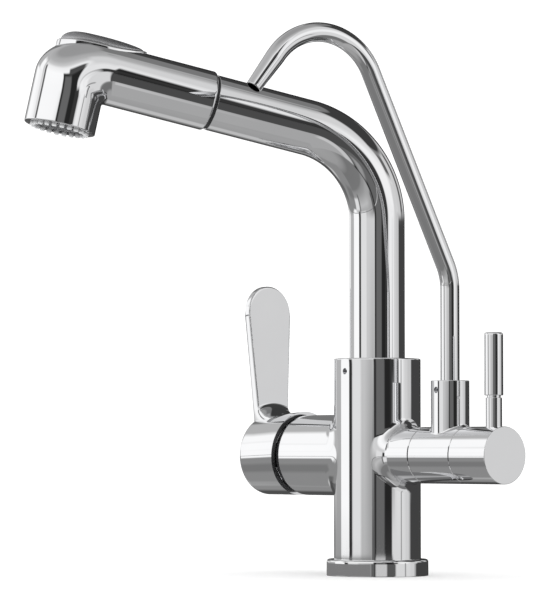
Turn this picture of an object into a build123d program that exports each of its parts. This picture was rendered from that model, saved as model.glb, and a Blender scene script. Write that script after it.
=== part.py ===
"""Kitchen mixer tap with a pull-out spray head and a separate filter spout.

Millimetres and degrees. The origin is the centre of the base on the worktop, +Z is up, +X points to
the filter valve, -X to the mixer lever and -Y to the person at the sink.
"""

from build123d import *
from math import asin, cos, degrees, hypot, radians, sin, sqrt, tan
import os

# Clearances
RUN = 0.05            # radial gap of a turning fit
SEAT = 0.05           # gap between fixed pieces that nest
CLEAR = 0.3           # gap between pieces that move past each other
OVERCUT = 1.0         # how far a cutter runs past the face that it opens
NEAR = 0.01           # how close to a height an edge counts as lying at it

# Base and body
FLANGE_D = 58.5
FLANGE_H = 9.5
FLANGE_ROUND = 1.5
GASKET_D = 53.0
GASKET_W = 2.5
GASKET_H = 2.0
BODY_D = 50.0
BODY_TOP = 124.5
BODY_ROUND = 0.8
FOOT_D = 45.0
BRANCH_Z = 69.0
HOSE_WAY_D = 22.0

# Inlet block in the foot of the body
BLOCK_D = 40.0
BLOCK_H = 22.0
PORT_CIRCLE_D = 29.0
STUD_HOLE_D = 6.8
STUD_HOLE_DEPTH = 16.0
STUD_ANGLES = (0.0, 180.0)
PORT_D = 9.0
PORT_ANGLES = (60.0, 120.0, 270.0)
GUIDE_HOLE_D = 17.0
GUIDE_LIP = 1.2

# Mixer branch, cartridge and lever
MIXER_D = 47.0
MIXER_END = 61.0
MIXER_BLEND = 2.0
CARTRIDGE_D = 35.0
CARTRIDGE_ROOM = 0.5  # thread of the nut round the cartridge
CARTRIDGE_BORE_L = 31.0
CARTRIDGE_NECK_L = 11.0
CARTRIDGE_NECK_D = 29.0
CARTRIDGE_PORT_D = 8.8
CARTRIDGE_PORT_CIRCLE_D = 17.5
CARTRIDGE_PORT_ANGLES = (0.0, 120.0, 240.0)
SEAL_H = 1.5
NUT_H = 7.0
NUT_SLOTS = 6
NUT_SLOT_W = 4.0
NUT_SLOT_DEEP = 1.5
NUT_SLOT_L = 2.0
PIVOT_SINK = 7.0      # the lever's pivot lies this far inside the branch's end
ROTOR_D = 24.0
ROTOR_L = 18.5
ROTOR_PROUD = 1.5
STEM_SIDE = 8.0
STEM_TAIL = 7.5
STEM_REACH = 36.0
PIVOT_PIN_D = 4.0
PIVOT_PIN_SINK = 0.5
SLOT_SWING = 20.0     # the stem's slot opens this much each way, in degrees
TRIM_BULGE = 0.7
TRIM_WALL = 2.0
TRIM_L = 9.0
HUB_D = 47.0
HUB_RIM_D = 50.6
HUB_GAP = 4.7
HUB_RIM_SLANT = 5.0
HUB_L = 32.0
HUB_SHOULDER_L = 3.5
HUB_ROUND = 3.0
BLADE_RISE = 101.0    # from the branch's axis to the tip
BLADE_TIP_R = 16.0
BLADE_ROOT_R = 10.4
BLADE_ROOT_T = 5.5
BLADE_TIP_T = 4.0
BLADE_LEAN = 3.4
SCOOP_L = 20.0
SCOOP_H = 8.0
LEVER_SCREW_D = 5.0
LEVER_SCREW_L = 8.0
LEVER_SCREW_BACK = 13.7
LEVER_PLUG_L = 3.5

# Filter branch, valve and knob
FILTER_D = 32.0
STUB_END = 42.6
STUB_BLEND = 5.0
SEAM = 0.3            # visible joint between turned pieces of the branch
SEAM_EDGE = 0.3
HOUSING_L = 33.0
BRANCH_BORE_D = 22.0
NIPPLE_IN_L = 12.6
NIPPLE_OUT_L = 8.4
NIPPLE_BORE_D = 10.0
CHAMBER_D = 14.0
HEADWORK_IN_L = 10.0
HEADWORK_OUT_L = 6.1
HEADWORK_NECK_D = 16.0
HEADWORK_NECK_L = 6.0
FILTER_STEM_D = 9.0
FILTER_STEM_SINK = 3.0
FILTER_STEM_BACK = 6.8
KNOB_L = 28.6
KNOB_WALL = 3.4
KNOB_FLOOR_T = 15.8
KNOB_SCREW_BACK = 11.3
KNOB_SCREW_L = 9.0
PIN_BACK = 8.6
PIN_STEM_D = 9.1
PIN_STEM_RISE = 32.0   # from the branch's axis
PIN_NECK_H = 1.2
PIN_NECK_D = 7.6
PIN_GRIP_D = 10.5
PIN_RISE = 68.1
PIN_ROUND = 1.2
PIN_STUD_D = 6.0
PIN_STUD_L = 7.0

# Socket post and filter spout
POST_BACK = 14.9
POST_D = 21.7
POST_RISE = 42.0      # from the branch's axis
POST_BLEND = 1.5
POST_ROUND = 0.4
POST_BORE_D = 15.0
POST_BORE_L = 23.0
POST_DRAIN_D = 8.0
FILTER_TUBE_D = 10.8
FILTER_TUBE_WALL = 1.2
FILTER_TUBE_INSET = 11.0
FILTER_TURN = -102.3  # plan direction of the filter spout
FILTER_STAND = 58.8   # from the top of the post up to the knee
FILTER_KNEE_R = 34.0
FILTER_LEAN = 24.4
FILTER_LEAN_L = 181.5
FILTER_ARCH_R = 34.6
FILTER_DIP = 52.6
FILTER_TIP_L = 82.0
FILTER_TAPER_L = 22.0
FILTER_MOUTH_D = 8.8
FILTER_MOUTH_WALL = 0.6
O_RING_WIRE = 2.1
O_RING_PITCH = 5.0
SCREW_GROOVE_DEPTH = 0.9

# Set screws at the front of the body and the post
SET_SCREW_D = 3.6
SET_SCREW_SINK = 1.0
SET_SCREW_KEY = 1.8
SPOUT_SCREW_DROP = 7.5
POST_SCREW_DROP = 5.4

# Main spout
TUBE_D = 32.0
TUBE_WALL = 2.0
SPOUT_TURN = -112.7   # plan direction of the main spout
SPOUT_RISE = 12.3
SPOUT_STAND = 123.4   # from the top of the body up to the corner of the axis
SPOUT_BEND_R = 54.0
SPOUT_REACH = 102.4   # from the corner to the seam, along the axis
BUSH_WALL = 2.0
SOCKET_L = 27.5
WASHER_H = 1.5
LOWER_BUSH_H = 7.5
UPPER_BUSH_H = 4.5
BUSH_SINK = 0.3

# Spray head, measured from the seam along the spout's axis
DOCK_L = 18.0
DOCK_WALL = 4.0
DOCK_LIP_H = 1.4
DOCK_LIP_INSET = 0.7
HEAD_STEP = 1.5       # the head stands this much proud of the tube
HEAD_WALL = 2.5
HEAD_EDGE = 1.2
NOZZLE_D = 41.4
NOZZLE_OUT = 82.4
NOZZLE_DROP = 36.0
NOZZLE_LIP = 0.6
ELBOW_INNER_R = 2.5
ELBOW_OUTER_R = 23.0
ELBOW_ANGLES = (0, 22.5, 45, 67.5, 90)
INLET_FLANGE_L = 6.0
INLET_BACK_L = 14.0
INLET_BORE_D = 9.0
CHECK_L = 8.0
CHECK_SINK = 2.0
HOSE_D = 13.0
HOSE_BORE_D = 8.0
HOSE_FOOT = 1.2       # height of the hose's cut end over the worktop
HOSE_NUT_FLATS = 16.0
HOSE_NUT_L = 14.0
HOSE_GRIP = 9.0
WATERWAY_D = 10.0
WATERWAY_WALL = 1.5
WATERWAY_DROP = 9.0

# Rocker button on top of the head
ROCKER_BACK = 13.4    # from the nozzle's axis back to the rocker's pivot
BEZEL_L = 52.0
BEZEL_W = 24.0
BEZEL_WALL = 1.5
BEZEL_PROUD = 1.2
BEZEL_DEPTH = 9.5
BEZEL_FLOOR_T = 1.5
BUTTON_GAP = 0.5
BUTTON_PROUD = 3.1
BUTTON_CROWN_R = 85.0
BUTTON_CROWN_BACK = 3.0
BUTTON_DEPTH = 4.9
ROCKER_PIN_D = 2.0
ROCKER_PIN_DROP = 0.4
ROCKER_RIB_L = 7.0
ROCKER_RIB_DROP = 2.2
SPOOL_OUT = 10.0      # from the rocker's pivot towards the nozzle
SPOOL_D = 5.0
SPOOL_L = 20.0
SPOOL_ROOM = 2.0

# Spray face
PLATE_T = 2.0
PLATE_SINK = 0.8
MAT_T = 1.4
NUB_ROOT_D = 3.2
NUB_TIP_D = 2.2
NUB_PROUD = 2.4
NUB_OUTER_INSET = 2.8
NUB_OUTER_COUNT = 24
NUB_RING_STEP = 4.6
NUB_INNER_COUNT = 16
AERATOR_D = 14.0
AERATOR_T = 4.0
AERATOR_SLOTS = 3
AERATOR_SLOT_W = 0.8
AERATOR_SLOT_DEEP = 1.0
DIVERTER_FLANGE_T = 4.5
DIVERTER_D = 30.0
DIVERTER_TOP = 4.0    # below the axis of the handle part
DIVERTER_PORT_D = 7.0
DIVERTER_PORT_L = 4.0

# Places that follow from the driving sizes: heights
SOCKET_FLOOR = BODY_TOP - SOCKET_L
SPOUT_SCREW_Z = BODY_TOP - SPOUT_SCREW_DROP
SPOUT_CORNER_Z = BODY_TOP + SPOUT_STAND
BLADE_TIP_Z = BRANCH_Z + BLADE_RISE
PIN_STEM_TOP = BRANCH_Z + PIN_STEM_RISE
PIN_TOP = BRANCH_Z + PIN_RISE
POST_TOP = BRANCH_Z + POST_RISE
POST_FLOOR = POST_TOP - POST_BORE_L
POST_SCREW_Z = POST_TOP - POST_SCREW_DROP
FILTER_TUBE_FOOT = POST_TOP - FILTER_TUBE_INSET
FILTER_KNEE_Z = POST_TOP + FILTER_STAND

# Places along the mixer branch, from the body's axis
CARTRIDGE_SEAT = MIXER_END - CARTRIDGE_BORE_L
CARTRIDGE_SHOULDER = MIXER_END - CARTRIDGE_NECK_L
PIVOT_X = MIXER_END - PIVOT_SINK
ROTOR_END = MIXER_END + ROTOR_PROUD
ROTOR_FLOOR = ROTOR_END - ROTOR_L
STEM_START = PIVOT_X - STEM_TAIL
STEM_END = PIVOT_X + STEM_REACH
TRIM_END = MIXER_END + TRIM_L
HUB_RIM = MIXER_END + HUB_GAP
HUB_END = HUB_RIM + HUB_L
LEVER_SCREW_X = HUB_END - LEVER_SCREW_BACK

# Places along the filter branch, from the body's axis
HOUSING_END = STUB_END + SEAM + HOUSING_L
KNOB_END = HOUSING_END + SEAM + KNOB_L
NIPPLE_START = STUB_END - NIPPLE_IN_L
NIPPLE_END = STUB_END + NIPPLE_OUT_L
HEADWORK_START = HOUSING_END - HEADWORK_IN_L
HEADWORK_END = HOUSING_END + HEADWORK_OUT_L
HEADWORK_NECK_END = HEADWORK_END + HEADWORK_NECK_L
FILTER_STEM_START = HEADWORK_START + FILTER_STEM_SINK
FILTER_STEM_END = KNOB_END - FILTER_STEM_BACK
KNOB_FLOOR = KNOB_END - KNOB_FLOOR_T
KNOB_SCREW_X = KNOB_END - KNOB_SCREW_BACK
PIN_X = KNOB_END - PIN_BACK
POST_X = HOUSING_END - POST_BACK

# Diameters and heights of what fits together
SOCKET_D = TUBE_D + 2 * BUSH_WALL
TUBE_BORE_D = TUBE_D - 2 * TUBE_WALL
DOCK_BORE_D = TUBE_BORE_D - 2 * DOCK_WALL
DOCK_LIP_D = TUBE_D - 2 * DOCK_LIP_INSET
HEAD_D = TUBE_D + 2 * HEAD_STEP
CARTRIDGE_BORE_D = CARTRIDGE_D + 2 * CARTRIDGE_ROOM
TRIM_SPHERE_R = MIXER_D / 2 + TRIM_BULGE
ROCKER_OUT = NOZZLE_OUT - ROCKER_BACK
BUTTON_CROWN_OUT = ROCKER_OUT - BUTTON_CROWN_BACK
BEZEL_FLOOR_H = HEAD_D / 2 - BEZEL_DEPTH
BUTTON_UNDER_H = HEAD_D / 2 - BUTTON_DEPTH
ROCKER_PIN_H = BUTTON_UNDER_H - ROCKER_PIN_DROP
ROCKER_RIB_H = BUTTON_UNDER_H - ROCKER_RIB_DROP

# Frames: local Z runs along the piece's own axis
UP = (0, 0, 1)
MIXER = Plane(origin=(0, 0, BRANCH_Z), x_dir=UP, z_dir=(-1, 0, 0))
FILTER = Plane(origin=(0, 0, BRANCH_Z), x_dir=UP, z_dir=(1, 0, 0))
POST = Plane(origin=(POST_X, 0, 0), x_dir=(1, 0, 0), z_dir=UP)
PIN = Plane(origin=(PIN_X, 0, BRANCH_Z), x_dir=(1, 0, 0), z_dir=UP)


def plan_direction(turn):
    """Unit vector in the worktop's plane at an angle from +X."""
    return Vector(cos(radians(turn)), sin(radians(turn)), 0)


def upright_plane(origin, turn):
    """Plane whose local X runs out along a plan direction and whose local Y is up."""
    out = plan_direction(turn)
    return Plane(origin=origin, x_dir=out, z_dir=out.cross(Vector(UP)))


SPOUT = upright_plane((0, 0, 0), SPOUT_TURN)
FILTER_SPOUT = upright_plane((POST_X, 0, 0), FILTER_TURN)
SEAM_OUT = SPOUT_REACH * cos(radians(SPOUT_RISE))
SEAM_Z = SPOUT_CORNER_Z + SPOUT_REACH * sin(radians(SPOUT_RISE))
SPOUT_AXIS = plan_direction(SPOUT_TURN) * cos(radians(SPOUT_RISE)) + Vector(UP) * sin(radians(SPOUT_RISE))
HEAD_UP = Vector(UP) * cos(radians(SPOUT_RISE)) - plan_direction(SPOUT_TURN) * sin(radians(SPOUT_RISE))
SEAM_POINT = plan_direction(SPOUT_TURN) * SEAM_OUT + Vector(UP) * SEAM_Z
HEAD = Plane(origin=SEAM_POINT, x_dir=HEAD_UP, z_dir=SPOUT_AXIS)
NOZZLE_IN_HEAD = Plane(origin=(0, 0, NOZZLE_OUT), x_dir=(0, 0, 1), z_dir=(-1, 0, 0))
NOZZLE = HEAD * NOZZLE_IN_HEAD

# Sizes of the bearing, the cavity and the spray face
TUBE_FOOT = SOCKET_FLOOR + WASHER_H + CLEAR
LOWER_BUSH_Z = SOCKET_FLOOR + WASHER_H
COLLAR_Z = LOWER_BUSH_Z + LOWER_BUSH_H + CLEAR
COLLAR_TOP = SPOUT_SCREW_Z - SET_SCREW_D / 2 - CLEAR
UPPER_BUSH_Z = BODY_TOP - BUSH_SINK - UPPER_BUSH_H
HUB_CAVITY_R = TRIM_SPHERE_R + 2 * CLEAR
HEAD_RIM = DOCK_LIP_H + CLEAR
HEAD_BORE_D = HEAD_D - 2 * HEAD_WALL
NOZZLE_BORE_D = NOZZLE_D - 2 * HEAD_WALL
PLATE_FACE = NOZZLE_DROP - PLATE_SINK
MAT_FACE = PLATE_FACE - PLATE_T
DIVERTER_FACE = MAT_FACE - MAT_T
NUB_OUTER_R = NOZZLE_BORE_D / 2 - NUB_OUTER_INSET
NUB_INNER_R = NUB_OUTER_R - NUB_RING_STEP


def drum(diameter, start, end):
    """Cylinder about local Z from start to end."""
    size = end - start
    return Pos(0, 0, start) * Cylinder(diameter / 2, size, align=(Align.CENTER, Align.CENTER, Align.MIN))


def ring(outer, inner, start, end):
    """Plain ring about local Z."""
    return drum(outer, start, end) - drum(inner, start - OVERCUT, end + OVERCUT)


def square_bar(side, start, end):
    """Square bar about local Z from start to end."""
    return Pos(0, 0, start) * extrude(Rectangle(side, side), amount=end - start)


def end_edges(solid, height):
    """Round edges of a solid in the level plane at a height."""
    circles = solid.edges().filter_by(GeomType.CIRCLE)
    return circles.filter_by_position(Axis.Z, height - NEAR, height + NEAR)


def outer_edge(solid, height):
    """Largest round edge at a height."""
    return end_edges(solid, height).sort_by(SortBy.RADIUS)[-1]


def set_screw(diameter, length):
    """Grub screw along local Z with its key socket in the far end."""
    screw = drum(diameter, 0, length)
    screw = chamfer(outer_edge(screw, 0), diameter / 8)
    socket = Pos(0, 0, length) * extrude(RegularPolygon(SET_SCREW_KEY / 2, 6), amount=-length / 3)
    return screw - socket


def front_hole(height, x):
    """Plane of a set-screw hole that faces the user."""
    return Plane(origin=(x, 0, height), x_dir=(1, 0, 0), z_dir=(0, -1, 0))


# Base and body
def base_flange():
    flange = ring(FLANGE_D, FOOT_D + 2 * SEAT, 0, FLANGE_H)
    flange = fillet(outer_edge(flange, FLANGE_H), FLANGE_ROUND)
    groove_d = GASKET_D - 2 * GASKET_W
    return flange - ring(GASKET_D, groove_d, -OVERCUT, GASKET_H)


def base_gasket():
    return ring(GASKET_D - 2 * SEAT, GASKET_D - 2 * GASKET_W + 2 * SEAT, 0, GASKET_H)


def branch_joints(solid, side):
    """Curved edges where a branch leaves the body, on the +X side or the -X side."""
    curved = [e for e in solid.edges() if e.geom_type not in (GeomType.CIRCLE, GeomType.LINE)]
    return [e for e in curved if e.center().X * side > 0]


def main_body():
    trunk = drum(BODY_D, FLANGE_H, BODY_TOP)
    trunk = fillet(outer_edge(trunk, BODY_TOP), BODY_ROUND)
    stub = FILTER * chamfer(outer_edge(drum(FILTER_D, 0, STUB_END), STUB_END), SEAM_EDGE)
    body = trunk + stub
    body = fillet(branch_joints(body, 1), STUB_BLEND)
    branch = MIXER * fillet(outer_edge(drum(MIXER_D, 0, MIXER_END), MIXER_END), BODY_ROUND)
    body = body + branch
    body = fillet(branch_joints(body, -1), MIXER_BLEND)
    body += drum(FOOT_D, 0, FLANGE_H)
    body -= drum(BLOCK_D + 2 * SEAT, -OVERCUT, BLOCK_H)
    body -= drum(HOSE_WAY_D, 0, SOCKET_FLOOR)
    body -= drum(SOCKET_D, SOCKET_FLOOR, BODY_TOP + OVERCUT)
    body -= MIXER * drum(CARTRIDGE_BORE_D, CARTRIDGE_SEAT, MIXER_END + OVERCUT)
    body -= FILTER * drum(BRANCH_BORE_D, NIPPLE_START, STUB_END + OVERCUT)
    return body - front_hole(SPOUT_SCREW_Z, 0) * drum(SET_SCREW_D, SOCKET_D / 2 - OVERCUT, BODY_D)


def around(diameter, angle):
    """Place on a circle about local Z."""
    return Rot(0, 0, angle) * Pos(diameter / 2, 0, 0)


def inlet_block():
    block = drum(BLOCK_D, 0, BLOCK_H)
    block -= drum(GUIDE_HOLE_D, -OVERCUT, BLOCK_H + OVERCUT)
    for angle in STUD_ANGLES:
        block -= around(PORT_CIRCLE_D, angle) * drum(STUD_HOLE_D, -OVERCUT, STUD_HOLE_DEPTH)
    for angle in PORT_ANGLES:
        block -= around(PORT_CIRCLE_D, angle) * drum(PORT_D, -OVERCUT, BLOCK_H + OVERCUT)
    return block


def hose_guide_bush():
    bore = HOSE_D + 2 * CLEAR
    bush = ring(GUIDE_HOLE_D - 2 * SEAT, bore, 0, BLOCK_H)
    return bush + ring(GUIDE_HOLE_D + 2 * GUIDE_LIP, bore, BLOCK_H, BLOCK_H + GUIDE_LIP)


# Mixer cartridge and lever
def mixer_cartridge():
    base = CARTRIDGE_SEAT + SEAL_H
    case = drum(CARTRIDGE_D, base, CARTRIDGE_SHOULDER) + drum(CARTRIDGE_NECK_D, base, MIXER_END)
    return MIXER * (case - drum(ROTOR_D + 2 * RUN, ROTOR_FLOOR, MIXER_END + OVERCUT))


def cartridge_seal():
    end = CARTRIDGE_SEAT + SEAL_H
    seal = drum(CARTRIDGE_D, CARTRIDGE_SEAT, end)
    port = drum(CARTRIDGE_PORT_D, CARTRIDGE_SEAT - OVERCUT, end + OVERCUT)
    for angle in CARTRIDGE_PORT_ANGLES:
        seal -= around(CARTRIDGE_PORT_CIRCLE_D, angle) * port
    return MIXER * seal


def cartridge_nut():
    outer = CARTRIDGE_BORE_D - 2 * SEAT
    end = CARTRIDGE_SHOULDER + NUT_H
    nut = ring(outer, CARTRIDGE_NECK_D + 2 * SEAT, CARTRIDGE_SHOULDER, end)
    slot = Pos(0, 0, end) * Box(2 * NUT_SLOT_DEEP, NUT_SLOT_W, 2 * NUT_SLOT_L)
    for step in range(NUT_SLOTS):
        nut -= around(outer, step * 360 / NUT_SLOTS) * slot
    return MIXER * nut


def trim_ring():
    """Black dome that closes the gap behind the hub; the hub turns about its centre."""
    dome = Pos(0, 0, PIVOT_X) * (Sphere(TRIM_SPHERE_R) - Sphere(TRIM_SPHERE_R - TRIM_WALL))
    return MIXER * (dome & drum(3 * TRIM_SPHERE_R, MIXER_END, TRIM_END))


def stem_tilt_slot(gap):
    """Wedge that the stem sweeps when it tilts, as wide as the stem and a gap."""
    width = STEM_SIDE + 2 * gap
    reach = ROTOR_END + OVERCUT - PIVOT_X
    half_root = STEM_SIDE / 2 + gap + (PIVOT_X - STEM_START) * tan(radians(SLOT_SWING))
    half_top = STEM_SIDE / 2 + gap + reach * tan(radians(SLOT_SWING))
    low = -hypot(STEM_TAIL, STEM_SIDE / 2) - gap
    outline = Polyline((low, -half_root), (low, half_root), (0, half_root), (reach, half_top),
                       (reach, -half_top), (0, -half_root), close=True)
    wedge = extrude(Plane.XZ * make_face(outline), amount=width / 2, both=True)
    return Pos(0, 0, PIVOT_X) * Rot(0, -90, 0) * wedge


def cartridge_rotor():
    rotor = drum(ROTOR_D, ROTOR_FLOOR + CLEAR, ROTOR_END)
    rotor -= stem_tilt_slot(CLEAR)
    return MIXER * (rotor - pivot_pin_bar(PIVOT_PIN_D + 2 * SEAT))


def pivot_pin_bar(diameter):
    """Bar across the rotor at the lever's pivot."""
    bar = Rot(90, 0, 0) * Cylinder(diameter / 2, ROTOR_D - 2 * PIVOT_PIN_SINK)
    return Pos(0, 0, PIVOT_X) * bar


def pivot_pin():
    return MIXER * pivot_pin_bar(PIVOT_PIN_D)


def cartridge_stem():
    bar = square_bar(STEM_SIDE, STEM_START, STEM_END)
    return MIXER * (bar - pivot_pin_bar(PIVOT_PIN_D + 2 * RUN))


def paddle_outline():
    """Front outline of the blade, drawn in the plane across the branch."""
    tip = BLADE_TIP_Z - BRANCH_Z - BLADE_TIP_R
    tip_round = Pos(tip, 0) * Circle(BLADE_TIP_R)
    root_round = Pos(HUB_D / 4, 0) * Circle(BLADE_ROOT_R)
    return make_hull(tip_round.edges() + root_round.edges())


def blade_side():
    """Side outline of the blade: height above the branch, distance from the body's axis."""
    top = BLADE_TIP_Z - BRANCH_Z
    lean = (top - HUB_D / 2) * tan(radians(BLADE_LEAN))
    inner = HUB_END - BLADE_ROOT_T
    points = ((0, inner), (HUB_D / 2, inner), (top, inner + lean), (top, inner + lean + BLADE_TIP_T),
              (HUB_D / 2, HUB_END), (0, HUB_END))
    return extrude(Plane.XZ * make_face(Polyline(*points, close=True)), amount=HUB_D, both=True)


def lever_scoop():
    """Flare about the hub's axis that carries the hub up into the blade."""
    inner = HUB_END - BLADE_ROOT_T
    foot = HUB_D / 2
    start = inner - SCOOP_L
    arc = EllipticalCenterArc((foot + SCOOP_H, start), SCOOP_H, SCOOP_L, 90, arc_size=90)
    profile = make_face([arc, Polyline((foot, start), (0, start), (0, inner), (foot + SCOOP_H, inner))])
    return revolve(Plane.XZ * profile, Axis.Z)


def lever_handle():
    lift = (HUB_RIM_D - HUB_D) / 2
    rim = Plane.XY.offset(HUB_RIM - HUB_D / 2) * (Pos(lift, 0) * Circle(HUB_RIM_D / 2))
    shoulder_start = HUB_END - HUB_SHOULDER_L
    shoulder = drum(HUB_D, shoulder_start, HUB_END)
    hub = loft([rim, Plane.XY.offset(shoulder_start) * Circle(HUB_D / 2)])
    hub += fillet(outer_edge(shoulder, HUB_END), HUB_ROUND)
    paddle = extrude(paddle_outline(), amount=2 * HUB_END)
    blade = paddle & blade_side()
    scoop = paddle & lever_scoop()
    handle = hub + blade + scoop
    cutter = Box(4 * HUB_D, 4 * HUB_D, HUB_D, align=(Align.CENTER, Align.CENTER, Align.MAX))
    handle -= Pos(0, 0, HUB_RIM) * Rot(0, HUB_RIM_SLANT, 0) * cutter
    handle -= Pos(0, 0, PIVOT_X) * Sphere(HUB_CAVITY_R)
    handle -= square_bar(STEM_SIDE + 2 * SEAT, PIVOT_X, STEM_END + CLEAR)
    return MIXER * (handle - lever_screw_way() * drum(LEVER_SCREW_D + 2 * SEAT, 0, HUB_D))


def lever_screw_way():
    """Plane of the grub screw on the underside of the hub."""
    return Plane(origin=(0, 0, LEVER_SCREW_X), x_dir=(0, 0, 1), z_dir=(-1, 0, 0))


def lever_grub_screw():
    start = STEM_SIDE / 2 + SEAT
    return MIXER * (lever_screw_way() * (Pos(0, 0, start) * set_screw(LEVER_SCREW_D, LEVER_SCREW_L)))


def lever_plug():
    end = HUB_D / 2
    return MIXER * (lever_screw_way() * drum(LEVER_SCREW_D, end - LEVER_PLUG_L, end - SEAM))


# Filter valve and knob
def filter_nipple():
    return FILTER * ring(BRANCH_BORE_D - 2 * SEAT, NIPPLE_BORE_D, NIPPLE_START, NIPPLE_END)


def branch_length(start, end):
    """Chromed length of the filter branch with broken edges."""
    length = drum(FILTER_D, start, end)
    return chamfer([outer_edge(length, start), outer_edge(length, end)], SEAM_EDGE)


def filter_valve_housing():
    housing = FILTER * branch_length(STUB_END + SEAM, HOUSING_END)
    post = POST * drum(POST_D, BRANCH_Z, POST_TOP)
    joined = housing + post
    curved = [e for e in joined.edges() if e.geom_type not in (GeomType.CIRCLE, GeomType.LINE)]
    joined = fillet(curved, POST_BLEND)
    joined = fillet(outer_edge(joined, POST_TOP), POST_ROUND)
    joined -= FILTER * drum(BRANCH_BORE_D, STUB_END, NIPPLE_END)
    joined -= FILTER * drum(CHAMBER_D, NIPPLE_END, HEADWORK_START)
    joined -= FILTER * drum(BRANCH_BORE_D, HEADWORK_START, HOUSING_END + OVERCUT)
    joined -= POST * drum(POST_BORE_D, POST_FLOOR, POST_TOP + OVERCUT)
    joined -= POST * drum(POST_DRAIN_D, BRANCH_Z, POST_FLOOR)
    return joined - front_hole(POST_SCREW_Z, POST_X) * drum(SET_SCREW_D, 0, POST_D)


def filter_headwork():
    work = drum(BRANCH_BORE_D - 2 * SEAT, HEADWORK_START, HEADWORK_END)
    work += drum(HEADWORK_NECK_D, HEADWORK_END, HEADWORK_NECK_END)
    work -= drum(FILTER_STEM_D + 2 * RUN, FILTER_STEM_START - CLEAR, HEADWORK_NECK_END + OVERCUT)
    return FILTER * work


def filter_stem():
    return FILTER * drum(FILTER_STEM_D, FILTER_STEM_START, FILTER_STEM_END)


def pin_seat_height():
    """Height above the branch's axis of the flat spot under the pin lever."""
    return sqrt(FILTER_D ** 2 - (PIN_STEM_D + 2 * SEAT) ** 2) / 2


def filter_knob():
    start = HOUSING_END + SEAM
    knob = FILTER * branch_length(start, KNOB_END)
    knob -= FILTER * drum(FILTER_D - 2 * KNOB_WALL, start - OVERCUT, KNOB_FLOOR)
    knob -= FILTER * drum(FILTER_STEM_D + 2 * SEAT, start, FILTER_STEM_END + CLEAR)
    seat = pin_seat_height()
    knob -= PIN * drum(PIN_STEM_D + 2 * SEAT, seat, FILTER_D)
    knob -= PIN * drum(PIN_STUD_D + 2 * SEAT, seat - PIN_STUD_L - CLEAR, seat + OVERCUT)
    return knob - knob_screw_way() * drum(SET_SCREW_D + 2 * SEAT, 0, FILTER_D)


def knob_screw_way():
    """Plane of the grub screw on the underside of the knob."""
    return Plane(origin=(KNOB_SCREW_X, 0, BRANCH_Z), x_dir=(1, 0, 0), z_dir=(0, 0, -1))


def knob_grub_screw():
    start = FILTER_STEM_D / 2 + SEAT
    return knob_screw_way() * (Pos(0, 0, start) * set_screw(SET_SCREW_D, KNOB_SCREW_L))


def filter_lever_stem():
    seat = pin_seat_height()
    top = PIN_STEM_TOP - BRANCH_Z
    stem = drum(PIN_STEM_D, seat, top) + drum(PIN_STUD_D, seat - PIN_STUD_L, top)
    stem += drum(PIN_NECK_D, top, top + PIN_NECK_H)
    return PIN * (stem + drum(PIN_STUD_D, top, top + PIN_NECK_H + PIN_STUD_L))


def filter_lever_grip():
    start = PIN_STEM_TOP - BRANCH_Z + PIN_NECK_H
    end = PIN_TOP - BRANCH_Z
    grip = drum(PIN_GRIP_D, start, end)
    grip = fillet(outer_edge(grip, end), PIN_ROUND)
    grip = chamfer(outer_edge(grip, start), SEAM_EDGE)
    return PIN * (grip - drum(PIN_STUD_D + 2 * SEAT, start - OVERCUT, start + PIN_STUD_L + CLEAR))


# Filter spout
def filter_path():
    """Centre line of the filter spout from its foot to its tapered tip, in its own upright plane."""
    knee = Vector(0, FILTER_KNEE_Z)
    crown = knee + Vector(sin(radians(FILTER_LEAN)), cos(radians(FILTER_LEAN))) * FILTER_LEAN_L
    straight = FILTER_TIP_L - FILTER_TAPER_L
    tip = crown + Vector(cos(radians(FILTER_DIP)), -sin(radians(FILTER_DIP))) * straight
    line = FilletPolyline((0, FILTER_TUBE_FOOT), knee, crown, tip, radius=(FILTER_KNEE_R, FILTER_ARCH_R))
    return FILTER_SPOUT * line


def along(path, diameter):
    """Round bar along a path."""
    return sweep(Plane(origin=path @ 0, z_dir=path % 0) * Circle(diameter / 2), path=path)


def filter_spout_tube():
    path = filter_path()
    tip = Plane(origin=path @ 1, z_dir=path % 1)
    taper = Cone(FILTER_TUBE_D / 2, FILTER_MOUTH_D / 2, FILTER_TAPER_L)
    tube = along(path, FILTER_TUBE_D) + tip * (Pos(0, 0, FILTER_TAPER_L / 2) * taper)
    tube -= along(path, FILTER_TUBE_D - 2 * FILTER_TUBE_WALL)
    return tube - tip * drum(FILTER_MOUTH_D - 2 * FILTER_MOUTH_WALL, -OVERCUT, FILTER_TAPER_L + OVERCUT)


def o_ring_heights():
    low = POST_FLOOR + CLEAR + O_RING_WIRE
    return (low, low + O_RING_PITCH)


def filter_spigot():
    """Brass foot of the filter spout, held by the set screw in its groove."""
    outer = POST_BORE_D - 2 * RUN
    spigot = drum(outer, POST_FLOOR + CLEAR, POST_TOP - BUSH_SINK)
    spigot -= drum(FILTER_TUBE_D + 2 * SEAT, FILTER_TUBE_FOOT, POST_TOP)
    spigot -= drum(FILTER_TUBE_D - 2 * FILTER_TUBE_WALL, POST_FLOOR, POST_TOP)
    half = SET_SCREW_D / 2 + CLEAR
    spigot -= ring(outer + OVERCUT, outer - 2 * SCREW_GROOVE_DEPTH, POST_SCREW_Z - half, POST_SCREW_Z + half)
    for height in o_ring_heights():
        half = O_RING_WIRE / 2 + SEAT
        spigot -= ring(outer + OVERCUT, outer - 2 * O_RING_WIRE - 2 * SEAT, height - half, height + half)
    return POST * spigot


def filter_o_rings():
    middle = POST_BORE_D / 2 - RUN - O_RING_WIRE / 2 - SEAT / 2
    rings = [POST * (Pos(0, 0, height) * Torus(middle, O_RING_WIRE / 2)) for height in o_ring_heights()]
    return Compound(children=rings)


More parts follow.
